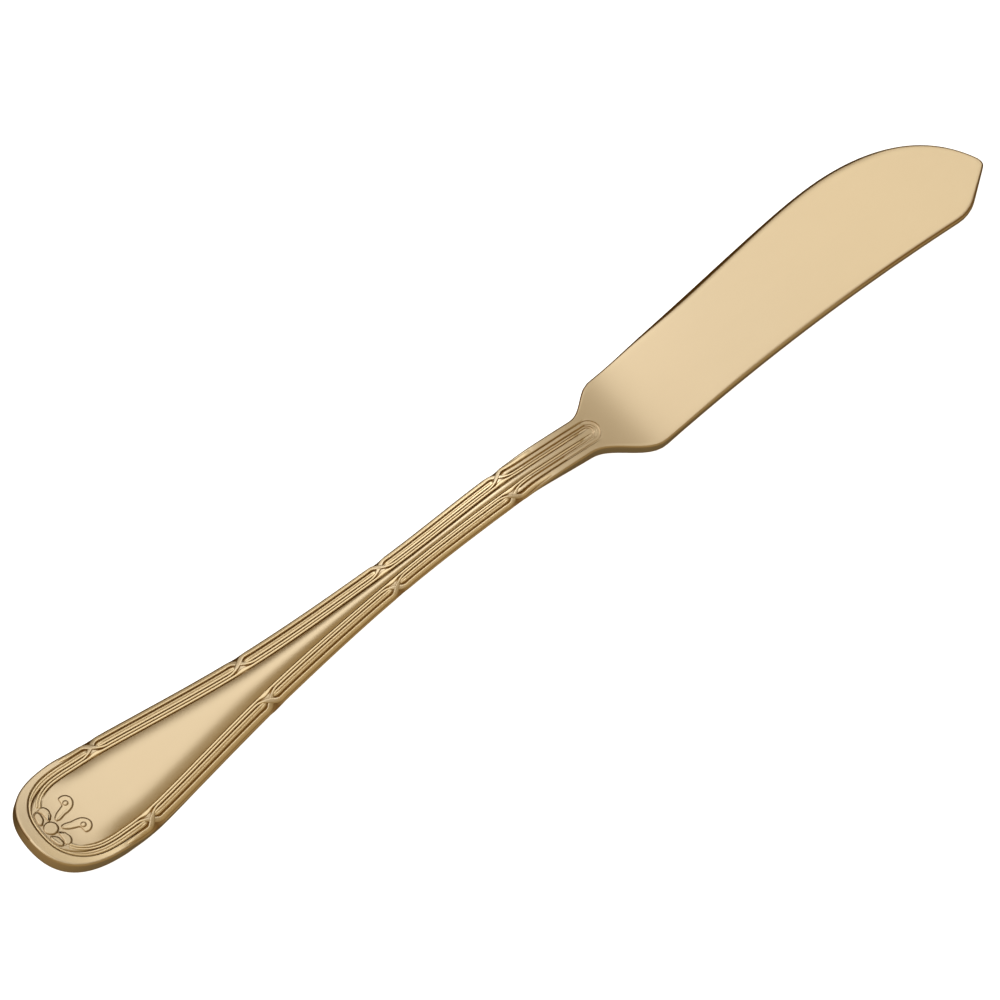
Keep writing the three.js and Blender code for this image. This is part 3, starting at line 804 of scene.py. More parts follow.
@dataclass(frozen=True)
class EdgeTones:
    """Relief along the blank's edges, which paints shade and highlights on the coating there.

    A fade gives angles round the edge, from the wall up to the face, and the share of a painted tone at each.
    A span is measured from the tip or the arch that its use names, or across the handle's end. The panel line
    is the width of the painted shade line round the panel.
    """

    # Painted shade on the bevel and in a tie's notch
    bevel: float = 0.35
    left_notch: float = 0.6
    right_notch: float = 0.3
    notch_land: float = 0.8
    # More painted shade on the far side's bevel and rim
    far_bevel: float = 0.2
    far_rim: float = 0.5
    far_fade: Fade = ((0.0, 0.9, 1.4), (1.0, 0.8, 0.0))
    # Painted dark line along the blade's back edge, standing for shade
    back_fade: Fade = ((0.0, 1.1, 1.5), (0.8, 1.0, 0.0))
    back_stop: Span = (-16.0, -4.0)
    # Painted dark line along the spreading edge, standing for shade
    spreading_line: Span = (0.35, 0.8)
    spreading_start: float = 30.0
    spreading_setback: float = 20.0
    spreading_fade: Fade = ((0.0, 0.35, 0.7, 1.1, 1.45), (0.0, 0.3, 1.0, 0.9, 0.0))
    # Painted highlight on the rim round the end
    end_highlight: float = 1.62
    end_highlight_span: Span = (-6.0, 5.0)
    # Painted highlight on the blade, growing towards the tip
    tip_highlight: float = 1.22
    tip_highlight_start: float = 12.0
    tip_highlight_setback: float = 10.0
    # How far the groove's painted shade lifts at a tie, and where it lifts before the arch
    tie: float = 0.85
    arch_span: Span = (-6.0, -1.5)
    panel_line: float = 0.1

    def notch(self, side: Side) -> float:
        """How much painted shade darkens a tie's notch on a side."""
        return self.left_notch if side is Side.LEFT else self.right_notch


@dataclass
class Blank:
    """The struck blank: blade, handle, panel and end rim in one seamless skin.

    A round is the run and drop of an edge. A span is measured from the neck, the tip or the mark that its use
    names. A share limits a size on rows that are too short for it, and the blade's land and band are a width
    with its share.
    """

    setting: Setting
    plan: Plan
    profile: Profile
    border: Border
    tones: EdgeTones = EdgeTones()
    seam: float = 94.0
    end_rows: tuple[float, int] = (13.0, 48)
    border_rows: int = 118
    blade_rows: tuple[tuple[float, int], ...] = ((0.11, 28), (0.9, 64), (1.0, 34))
    end_reach: float = 8.0
    tip_reach: float = 5.0
    spine_blend: float = 25.0
    spine_shift: float = 16.0
    rim_round: Span = (0.3, 0.22)
    bevel: float = 0.2
    bevel_drop: float = 0.1
    notch_reach: float = 1.5
    notch_run: float = 0.4
    notch_drop: float = 0.45
    nick: float = 0.11
    blade_growth: Span = (5.0, 24.0)
    back_round: Span = (0.42, 0.26)
    back_swell: float = 1.7
    back_swell_start: float = 20.0
    back_swell_setback: float = 15.0
    back_flat: float = 0.85
    back_lip: float = 0.16
    lip_start: Span = (5.0, 14.0)
    lip_stop: Span = (-28.0, -9.0)
    edge_round: Span = (0.65, 0.23)
    tip_round: Span = (0.3, 0.25)
    tip_round_span: Span = (-7.0, -0.5)
    blade_cuts: float = 8.0
    blade_land: Span = (2.1, 0.6)
    blade_band: Span = (0.7, 0.25)
    land_share: float = 0.75
    band_share: float = 0.9
    least_land: float = 0.02
    least_band: float = 0.3
    least_groove: float = 0.1
    least_bed: float = 0.05
    reed_clearance: float = 0.08
    end_bed: float = 0.35
    end_bed_span: Span = (1.5, 6.0)
    gutter: float = 0.12
    gutter_width: float = 0.26
    gutter_stop: Span = (-2.0, 3.0)
    panel_step: float = 0.06
    panel_step_run: float = 0.06
    panel_flush: float = 0.05
    wide_slope: float = 0.28
    narrow_slope: float = 0.50
    pillow_reach: float = 2.9
    camber: float = 0.015
    flower_field: float = 0.14
    flower_span: Span = (3.6, 13.0)
    foot_round: float = 0.38
    foot_share: float = 0.4
    least_foot: float = 0.1
    least_wall: float = 0.05
    tracks: tuple[Track, Track] = field(init=False)
    tree: BVHTree = field(init=False)

    # Places across a row, as shares of each strip or angles round an edge
    TURN = np.linspace(0.0, np.pi / 2, 6)
    LAND = np.linspace(0.0, 1.0, 8)[1:]
    GROOVE = np.array([0.08, 0.3, 0.6, 1.0])
    BED = np.array([0.08, 0.3, 0.6, 0.9, 1.0])
    PANEL = np.array([0.012, 0.03, 0.06, 0.1, 0.15, 0.21, 0.28, 0.36, 0.46, 0.58, 0.72, 0.86, 1.0])
    FOOT = np.linspace(0.0, np.pi / 2, 5)
    BACK = np.linspace(0.0, 1.0, 9)[1:]
    # The gutter takes the last fifth of the bed
    GUTTER = np.clip(5 * BED - 4, 0.0, 1.0)

    def __post_init__(self) -> None:
        """Draws the outline past the seam."""
        self.tracks = self.plan.edges(self.seam)

    def rows(self) -> list[tuple[Row, Row]]:
        """Left and right cross rows, from the handle's end to the tip.

        Returns:
            Pairs of rows that meet on the spine.
        """
        border, handle = self.border, self.plan.handle
        stop, count = self.end_rows
        beside = np.linspace(stop, float(handle.where(self.seam)), self.border_rows)[1:]
        rows = []
        for mark in np.concatenate([np.linspace(0.0, stop, count), beside]):
            point = handle.at(mark)
            axis = np.array([math.hypot(point[0], self.end_reach), 0.0])
            land, band = float(border.depth(border.land, mark)), float(border.field(mark))
            row = Row(point, right_of(handle.along(mark)), axis, mark, land, band)
            rows.append((row, row))
        start = 0.0
        for stop, count in self.blade_rows:
            for share in np.linspace(start, stop, count)[1:]:
                middle = np.mean([track.at(share * track.length)[0] for track in self.tracks])
                axis = self.spine(float(middle))
                rows.append(tuple(self.blade_row(side, share, axis) for side in Side))
            start = stop
        return rows

    def spine(self, x: float) -> np.ndarray:
        """Point where the rows of both sides meet on the neck or the blade.

        Args:
            x: Mean station of the two rows at the outline.

        Returns:
            A plan point.
        """
        plan = self.plan
        first = math.hypot(self.seam, self.end_reach) - self.seam
        last = plan.length - math.hypot(plan.length - x, self.tip_reach) - x
        at = x + float(blend(x, self.seam, self.seam + self.spine_blend, first, last))
        middle = sum(float(np.interp(at, *track.points.T)) for track in self.tracks) / 2
        return np.array([at, float(blend(at, plan.neck, plan.neck + self.spine_shift, 0.0, middle))])

    def blade_row(self, side: Side, share: float, axis: np.ndarray) -> Row:
        """Row on the neck or the blade.

        Args:
            side: Side of the spreader.
            share: Share of the way from the seam to the tip.
            axis: Point on the spine.

        Returns:
            The row.
        """
        border, plan = self.border, self.plan
        track = self.tracks[0 if side is Side.LEFT else 1]
        flip = np.array([1, side.value])
        point = track.at(share * track.length) * flip
        inward = right_of(track.along(share * track.length) * flip)
        x = float(point[0])
        own = np.array(self.edge_round)
        if side is Side.LEFT:
            start, stop = plan.neck + self.back_swell_start, plan.length - self.back_swell_setback
            own = blend(x, start, stop, self.back_swell, 1.0) * np.array(self.back_round)
            lip = ramp(x, plan.neck, self.lip_start, 0.0, self.back_lip)
            lip = lip * ramp(x, plan.length, self.lip_stop, 1.0, 0.0)
            point = point - inward * lip
        mark = float(plan.handle.where(min(x, plan.neck)))
        spare = float(point[1]) - float(plan.half_width(min(x, plan.neck)))
        whole = float(np.linalg.norm(axis * flip - point))
        cuts = []
        for line, (width, part) in ((border.land, self.blade_land), (border.band, self.blade_band)):
            near = float(border.depth(line, mark)) + spare
            far = whole - min(width, part * whole)
            cuts.append(float(blend(x, plan.neck, plan.neck + self.blade_cuts, near, far)))
        edge = ramp(x, plan.length, self.tip_round_span, own, np.array(self.tip_round))
        return Row(point, inward, axis * flip, mark, *cuts, edge)

    def measure(self, row: Row) -> Cut:
        """Sizes of the edge and the border at a row.

        Args:
            row: Place of the row.

        Returns:
            The sizes.
        """
        border = self.border
        lines = (border.sunk, border.rim, border.ratio, border.slimness)
        sunk, rim, ratio, slim = (float(line(row.mark)) for line in lines)
        notch = float(border.tie(row.mark, self.notch_reach)) * (1 - rim)
        nick = self.nick * notch * slim
        run = (1 - rim) * (self.bevel + self.notch_run * notch) * ratio + rim * self.rim_round[0]
        drop = (1 - rim) * (self.bevel_drop + self.notch_drop * notch) + rim * self.rim_round[1]
        grown = 0.0
        if row.plain:
            grown = float(ramp(row.x, self.plan.neck, self.blade_growth, 0.0, 1.0))
            run += grown * (row.edge[0] - run)
            drop += grown * (row.edge[1] - drop)
        length = float(np.linalg.norm(row.axis - row.point))
        land = max(min(row.land, self.land_share * length), nick + run + self.least_land)
        band = max(min(row.band, self.band_share * length), land + self.least_band)
        gutter = float(ramp(row.mark, self.plan.tie_marks[3], self.gutter_stop, self.gutter, 0.0)) * slim
        return Cut(sunk, rim, notch, nick, run, drop, grown, land, band, gutter)

    def edge_strip(self, row: Row, side: Side, cut: Cut) -> Strip:
        """Rounded edge of a row, from the wall up to the land.

        Args:
            row: Place of the row.
            side: Side of the spreader.
            cut: Sizes at the row.

        Returns:
            Depths inside the outline, heights from the top face, and the relief.
        """
        tones, plan, turn = self.tones, self.plan, self.TURN
        depths = cut.nick + cut.run * (1 - np.cos(turn))
        heights = cut.low - cut.drop * (1 - np.sin(turn))
        if not row.plain:
            # Painted shade on the bevel, deeper in a tie's notch
            relief = np.full(len(turn), 1.0 - (tones.bevel + tones.notch(side) * cut.notch) * (1 - cut.rim))
            if side is Side.LEFT:
                # The far side's bevel and rim take more painted shade
                dark = tones.far_bevel + tones.far_rim * cut.rim
                relief = relief - dark * np.interp(turn, *tones.far_fade) * (1 - cut.notch)
        elif side is Side.LEFT:
            # Painted dark line along the blade's back edge, standing for shade
            dark = float(ramp(row.x, plan.length, tones.back_stop, 1.0, 0.0))
            relief = 1.0 - dark * np.interp(turn, *tones.back_fade)
            flat = self.back_flat * cut.grown * dark
            even = turn / turn[-1]
            depths = depths + flat * (cut.nick + cut.run * even - depths)
            heights = heights + flat * (cut.low - cut.drop * (1 - even) - heights)
        else:
            # Painted dark line along the spreading edge, standing for shade
            start, stop = plan.neck + tones.spreading_start, plan.length - tones.spreading_setback
            dark = cut.grown * float(blend(row.x, start, stop, *tones.spreading_line))
            relief = 1.0 - dark * np.interp(turn, *tones.spreading_fade)
        return depths, heights, relief

    def border_strip(self, row: Row, side: Side, cut: Cut) -> Strip:
        """Land, groove and bed of the border in a row.

        Args:
            row: Place of the row.
            side: Side of the spreader.
            cut: Sizes at the row.

        Returns:
            Depths inside the outline, heights from the top face, and the relief.
        """
        border, tones, plan = self.border, self.tones, self.plan
        split = cut.land + 0.5 * (cut.band - cut.land)
        if not row.plain:
            split = float(border.reed_line(row.mark) + border.reed_width(row.mark)) + self.reed_clearance
        split = min(max(split, cut.land + self.least_groove), cut.band - self.least_bed)
        level = float(ramp(row.mark, border.start, self.end_bed_span, self.end_bed, 1.0))
        # Painted highlight on the rim's land round the end, fading across it
        highlight = 1.0
        if row.mark < plan.tie_marks[0]:
            across = side.value * float(row.point[1])
            highlight = float(blend(across, *tones.end_highlight_span, tones.end_highlight, 1.0))
        # The land takes painted shade between the ties, lighter in a tie's notch, and none on the rim
        land = cut.rim * highlight + (tones.notch_land - tones.notch(side)) * cut.notch
        # Painted shade in the groove, lifted at the ties and at the arch
        groove = max(tones.tie * float(border.tie(row.mark, border.tie_relief_reach)),
                     float(ramp(row.mark, plan.arch_mark, tones.arch_span, 0.0, 1.0)))
        # The bed takes painted shade too, lifted behind the flower
        bed = max(groove, (1 - level) / (1 - self.end_bed))
        start = cut.nick + cut.run
        depths = [start + (cut.land - start) * self.LAND,
                  cut.land + (split - cut.land) * self.GROOVE,
                  split + (cut.band - split) * self.BED]
        heights = [np.full(len(self.LAND), cut.low),
                   np.full(len(self.GROOVE), -cut.sunk),
                   -cut.sunk * level - cut.gutter * self.GUTTER]
        relief = [np.full(len(part), tone) for part, tone in zip(depths, (land, groove, bed))]
        return np.concatenate(depths), np.concatenate(heights), np.concatenate(relief)

    def panel_strip(self, row: Row, cut: Cut, spots: np.ndarray,
                    depth: np.ndarray) -> tuple[np.ndarray, np.ndarray]:
        """Convex panel of a row, which lies low behind the flower.

        Args:
            row: Place of the row.
            cut: Sizes at the row.
            spots: Plan points across the panel.
            depth: Depth of each inside the panel's edge.

        Returns:
            Heights from the top face, and the relief.
        """
        border, width = self.border, depth[-1]
        x, y = spots.T
        reach = min(self.pillow_reach, width)
        narrowing = min(1.0, width / self.pillow_reach)
        slope = self.narrow_slope + (self.wide_slope - self.narrow_slope) * narrowing
        swell = 0.5 * slope * reach * (1 - (1 - np.minimum(1, depth / reach)) ** 2)
        half = self.plan.half_width(np.maximum(x, self.plan.end_round))
        swell = swell + self.camber * half * np.maximum(0.0, 1 - (y / half) ** 2)
        step = np.minimum(1, depth / self.panel_step_run)
        base = float(border.bed(row.mark))
        rise = -base + (self.panel_step * step + swell) * min(1.0, base / border.relief)
        rise = rise - cut.gutter * np.maximum(0.0, 1 - depth / self.gutter_width)
        rise = blend(x, *self.flower_span, -base + self.flower_field * step, rise)
        # Where the panel lies sunk, a painted shade line runs along its edge
        if base > self.panel_flush:
            return rise, np.clip(depth / (self.tones.panel_line + cut.gutter), 0, 1)
        return rise, np.ones(len(depth))

    def underside(self, row: Row, nick: float, brow: float) -> np.ndarray:
        """Side wall, rounded foot and convex back of a row.

        Args:
            row: Place of the row.
            nick: How far the wall stands inside the outline.
            brow: Height of the wall's top, from the top face.

        Returns:
            Points in millimetres.
        """
        profile, x = self.profile, row.x
        full = float(profile.top(x) - profile.under(x))
        wall = float(profile.wall(x))
        room = max(self.least_foot, wall + brow - self.least_wall)
        foot = min(self.foot_round, self.foot_share * wall, room)
        inset = np.concatenate([[0.0, 0.0], foot * (1 - np.cos(self.FOOT))])
        upright = np.linspace(brow, foot - wall, 4)[1:3]
        fall = np.concatenate([upright, foot - wall - foot * np.sin(self.FOOT)])
        side_spots = row.point + row.inward * (nick + inset[:, None])
        back_spots = side_spots[-1] + (row.axis - side_spots[-1]) * self.BACK[:, None]
        back_fall = -wall - (full - wall) * (1 - (1 - self.BACK) ** 2)
        back = np.maximum(profile.top(back_spots[:, 0]) + back_fall, profile.under(back_spots[:, 0]))
        heights = np.concatenate([profile.top(x) + fall, back])
        return np.column_stack([np.vstack([side_spots, back_spots]), heights])

    def section(self, row: Row, side: Side) -> tuple[np.ndarray, np.ndarray]:
        """Points of one row, from the top of the axis over the edge to the bottom of the axis.

        Args:
            row: Place of the row.
            side: Side of the spreader.

        Returns:
            Points in millimetres, and the relief at each.
        """
        plan, profile, tones = self.plan, self.profile, self.tones
        cut = self.measure(row)
        strips = zip(self.edge_strip(row, side, cut), self.border_strip(row, side, cut))
        depths, heights, relief = (np.concatenate(pair) for pair in strips)
        heights = heights - self.border.fall(depths, row.mark)
        spots = row.point + row.inward * depths[:, None]
        if row.plain:
            # Past its rounding, a row of the blade turns towards the spine
            start = row.point + row.inward * cut.run
            way = (row.axis - start) / np.linalg.norm(row.axis - start)
            past = (depths > cut.run + 1e-9)[:, None]
            spots = np.where(past, start + way * (depths - cut.run)[:, None], spots)
        rest = row.axis - spots[-1]
        panel = spots[-1] + rest * self.PANEL[:, None]
        rise, tone = self.panel_strip(row, cut, panel, float(np.linalg.norm(rest)) * self.PANEL)
        relief = np.concatenate([relief, tone])
        # The blade's face takes a painted highlight that grows towards the tip
        if row.plain:
            start, stop = plan.neck + tones.tip_highlight_start, plan.length - tones.tip_highlight_setback
            relief = relief * blend(row.x, start, stop, 1.0, tones.tip_highlight)
        spots = np.vstack([spots, panel])
        top = np.column_stack([spots, profile.top(spots[:, 0]) + np.concatenate([heights, rise])])
        low = self.underside(row, cut.nick, float(heights[0]))
        skin = np.vstack([top[::-1], low])
        skin[:, 0] -= profile.tilt(skin[:, 0]) * (profile.top(skin[:, 0]) - skin[:, 2])
        skin[:, 1] *= side.value
        return skin, np.concatenate([relief[::-1], np.ones(len(low))])

    def build(self) -> bpy.types.Object:
        """Lofts both sides over their rows and joins them along the axis.

        Returns:
            The blank.
        """
        points, reliefs, faces = [], [], []
        rows = self.rows()
        for number, side in enumerate(Side):
            base = sum(len(p) for p in points)
            for pair in rows:
                skin, relief = self.section(pair[number], side)
                points.append(skin)
                reliefs.append(relief)
            count = len(points[0])
            for r in range(len(rows) - 1):
                for c in range(count - 1):
                    a = base + r * count + c
                    faces.append((a, a + 1, a + 1 + count, a + count))
        mesh = shell("struck_blank", self.setting.metres(np.vstack(points)), np.concatenate(reliefs), faces)
        piece = self.setting.dress("struck_blank", mesh, ["blade", "handle", "panel", "end_rim"])
        self.tree = BVHTree.FromPolygons([v.co for v in mesh.vertices], [p.vertices for p in mesh.polygons])
        return piece

    def height(self, x: float, y: float) -> float:
        """Height of the finished face.

        Args:
            x: Station of a plan point.
            y: Its distance from the axis.

        Returns:
            The height in millimetres.
        """
        spot = self.setting.metres(np.array([x, y, 30.0]))
        hit = self.tree.ray_cast(Vector(spot), Vector((0, 0, -1)))[0]
        return (hit.z - self.setting.origin.z) / MM if hit else float(self.profile.top(x))


class Crest(Enum):
    """Section of a moulding: how full its back is, and how deep a channel runs down its middle."""

    FULL = (4.6, 0.0)
    CHANNELLED = (6.0, 0.3)


@dataclass
class Run:
    """Path of a moulding: points on the floor, and what the moulding is like at each.

    The half width and the rise are in millimetres. The channel is a share of the section's own, and the
    crest shading is the crest's relief: a painted highlight over 1 and painted shade under 1.
    """

    points: np.ndarray
    half: np.ndarray
    rise: np.ndarray
    up: np.ndarray
    channel: Any = 1.0
    crest_shading: Any = 1.5


class Moulder:
    """Geometry Nodes tree that sweeps a raised moulding along a path."""

    FOOT = 0.08
    CHANNEL_SHARE = 0.22
    # Share of the section's height under which a flank takes full painted shade
    FLANK_END = 0.2

    def __init__(self) -> None:
        """Builds the tree, with its sizes as named inputs."""
        tree = bpy.data.node_groups.new("raised_moulding", "GeometryNodeTree")
        face = tree.interface
        face.new_socket("Geometry", in_out="OUTPUT", socket_type="NodeSocketGeometry")
        kinds = {"Geometry": "Geometry", "Fullness": "Float", "Channel": "Float", "Channel Share": "Float",
                 "Foot": "Float", "Facets": "Int", "Material": "Material"}
        self.inputs = {name: face.new_socket(name, in_out="INPUT", socket_type="NodeSocket" + kind).identifier
                       for name, kind in kinds.items()}
        given = add(tree, "NodeGroupInput").outputs
        told = {name: add(tree, "GeometryNodeInputNamedAttribute", {"Name": name}, data_type=kind).outputs[0]
                for name, kind in (("channel", "FLOAT"), ("rise", "FLOAT"), ("half", "FLOAT"),
                                   ("up", "FLOAT_VECTOR"), ("crest_shading", "FLOAT"))}
        path = add(tree, "GeometryNodeMeshToCurve", {"Mesh": given["Geometry"]})
        kept = add(tree, "GeometryNodeCaptureAttribute", {"Geometry": path.outputs[0]})
        kept.capture_items.new("VECTOR", "spot")
        kept.capture_items.new("VECTOR", "ahead")
        tree.links.new(add(tree, "GeometryNodeInputPosition").outputs[0], kept.inputs[1])
        tree.links.new(add(tree, "GeometryNodeInputTangent").outputs[0], kept.inputs[2])
        line = add(tree, "GeometryNodeCurvePrimitiveLine", {"Start": (-1, 0, 0), "End": (1, 0, 0)})
        cut = add(tree, "GeometryNodeResampleCurve", {"Curve": line.outputs[0], "Count": given["Facets"]})
        ring = add(tree, "GeometryNodeSetSplineCyclic", {"Geometry": cut.outputs[0], "Cyclic": True})
        place = add(tree, "ShaderNodeSeparateXYZ", {0: add(tree, "GeometryNodeInputPosition").outputs[0]})
        # Facets crowd towards the flanks, which are steep
        bent = add(tree, "ShaderNodeMath", {0: place.outputs[0], 1: math.pi / 2}, operation="MULTIPLY")
        flank = add(tree, "ShaderNodeMath", {0: bent.outputs[0]}, operation="SINE")
        section = add(tree, "GeometryNodeCaptureAttribute", {"Geometry": ring.outputs[0]})
        section.capture_items.new("FLOAT", "share")
        tree.links.new(flank.outputs[0], section.inputs[1])
        skin = add(tree, "GeometryNodeCurveToMesh",
                   {"Curve": kept.outputs[0], "Profile Curve": section.outputs[0], "Fill Caps": True})
        # Height of the section at a share of its half width, with the channel down its middle
        share = section.outputs[1]
        size = add(tree, "ShaderNodeMath", {0: share}, operation="ABSOLUTE")
        power = add(tree, "ShaderNodeMath", {0: size.outputs[0], 1: given["Fullness"]}, operation="POWER")
        left = add(tree, "ShaderNodeMath", {0: 1.0, 1: power.outputs[0]}, operation="SUBTRACT",
                   use_clamp=True)
        root = add(tree, "ShaderNodeMath", {0: 1.0, 1: given["Fullness"]}, operation="DIVIDE")
        crown = add(tree, "ShaderNodeMath", {0: left.outputs[0], 1: root.outputs[0]}, operation="POWER")
        dip = add(tree, "ShaderNodeMapRange", {"Value": size.outputs[0], "From Min": 0.0,
                                               "From Max": given["Channel Share"], "To Min": given["Channel"],
                                               "To Max": 0.0}, interpolation_type="SMOOTHSTEP")
        groove = add(tree, "ShaderNodeMath", {0: dip.outputs[0], 1: told["channel"]}, operation="MULTIPLY")
        shape = add(tree, "ShaderNodeMath", {0: crown.outputs[0], 1: groove.outputs[0]}, operation="SUBTRACT")
        # The foot of the moulding is buried in the floor
        over = add(tree, "ShaderNodeMath", {0: told["rise"], 1: given["Foot"]}, operation="ADD")
        tall = add(tree, "ShaderNodeMath", {0: shape.outputs[0], 1: over.outputs[0]}, operation="MULTIPLY")
        level = add(tree, "ShaderNodeMath", {0: tall.outputs[0], 1: given["Foot"]}, operation="SUBTRACT")
        up = told["up"]
        lift = add(tree, "ShaderNodeVectorMath", {0: up, "Scale": level.outputs[0]}, operation="SCALE")
        side = add(tree, "ShaderNodeVectorMath", {0: up, 1: kept.outputs[2]}, operation="CROSS_PRODUCT")
        unit = add(tree, "ShaderNodeVectorMath", {0: side.outputs[0]}, operation="NORMALIZE")
        out = add(tree, "ShaderNodeMath", {0: share, 1: told["half"]}, operation="MULTIPLY")
        shift = add(tree, "ShaderNodeVectorMath", {0: unit.outputs[0], "Scale": out.outputs[0]},
                    operation="SCALE")
        moved = add(tree, "ShaderNodeVectorMath", {0: shift.outputs[0], 1: lift.outputs[0]}, operation="ADD")
        spot = add(tree, "ShaderNodeVectorMath", {0: kept.outputs[1], 1: moved.outputs[0]}, operation="ADD")
        placed = add(tree, "GeometryNodeSetPosition",
                     {"Geometry": skin.outputs[0], "Position": spot.outputs[0]})
        # The flanks take painted shade, and the crest its crest shading, a painted highlight over 1
        bright = add(tree, "ShaderNodeMapRange", {"Value": shape.outputs[0], "From Min": self.FLANK_END,
                                                  "From Max": 1.0, "To Max": told["crest_shading"]})
        toned = add(tree, "GeometryNodeStoreNamedAttribute",
                    {"Geometry": placed.outputs[0], "Name": "relief", "Value": bright.outputs[0]},
                    data_type="FLOAT", domain="POINT")
        whole = add(tree, "GeometryNodeRealizeInstances", {"Geometry": toned.outputs[0]})
        dressed = add(tree, "GeometryNodeSetMaterial", {"Geometry": whole.outputs[0],
                                                        "Material": given["Material"]})
        add(tree, "NodeGroupOutput", {"Geometry": dressed.outputs[0]})
        self.tree = tree

    def sweep(self, setting: Setting, name: str, runs: list[Run], crest: Crest, nodes: list[str],
              facets: int = 15) -> bpy.types.Object:
        """Sweeps mouldings of one section along their paths and makes them one piece.

        Args:
            setting: Place and finish of the spreader.
            name: Name of the piece.
            runs: Paths of the mouldings.
            crest: Section of the mouldings.
            nodes: CAD nodes that the piece stands for.
            facets: Points across the section.

        Returns:
            The piece.
        """
        path = bpy.data.meshes.new(name + "_path")
        edges, start = [], 0
        for run in runs:
            edges += [(start + i, start + i + 1) for i in range(len(run.points) - 1)]
            start += len(run.points)
        path.from_pydata([tuple(p) for p in setting.metres(np.vstack([r.points for r in runs]))], edges, [])
        for key, scale in (("half", MM), ("rise", MM), ("channel", 1.0), ("crest_shading", 1.0)):
            values = np.concatenate([np.broadcast_to(getattr(r, key), len(r.points)) for r in runs]) * scale
            path.attributes.new(key, "FLOAT", "POINT").data.foreach_set("value", values.astype(np.float32))
        ups = np.vstack([r.up for r in runs]).astype(np.float32)
        path.attributes.new("up", "FLOAT_VECTOR", "POINT").data.foreach_set("vector", ups.ravel())
        holder = bpy.data.objects.new(name + "_path", path)
        bpy.context.scene.collection.objects.link(holder)
        modifier = holder.modifiers.new("moulding", "NODES")
        modifier.node_group = self.tree
        fullness, channel = crest.value
        sizes = {"Fullness": fullness, "Channel": channel, "Channel Share": self.CHANNEL_SHARE,
                 "Foot": self.FOOT * MM, "Facets": facets, "Material": setting.material}
        for key, value in sizes.items():
            modifier[self.inputs[key]] = value
        done = holder.evaluated_get(bpy.context.evaluated_depsgraph_get())
        mesh = bpy.data.meshes.new_from_object(done)
        bpy.data.objects.remove(holder)
        mesh.name = name
        work = bmesh.new()
        work.from_mesh(mesh)
        bmesh.ops.recalc_face_normals(work, faces=work.faces)
        work.to_mesh(mesh)
        work.free()
        return setting.dress(name, mesh, nodes)


@dataclass(frozen=True)
class Arch:
    """An arch across the neck.

    Its legs follow a line of the border from a distance past the last tie, and its head stands back from the
    border's end by the setback.
    """

    name: str
    node: str
    line: float
    half: float
    start: float
    setback: float


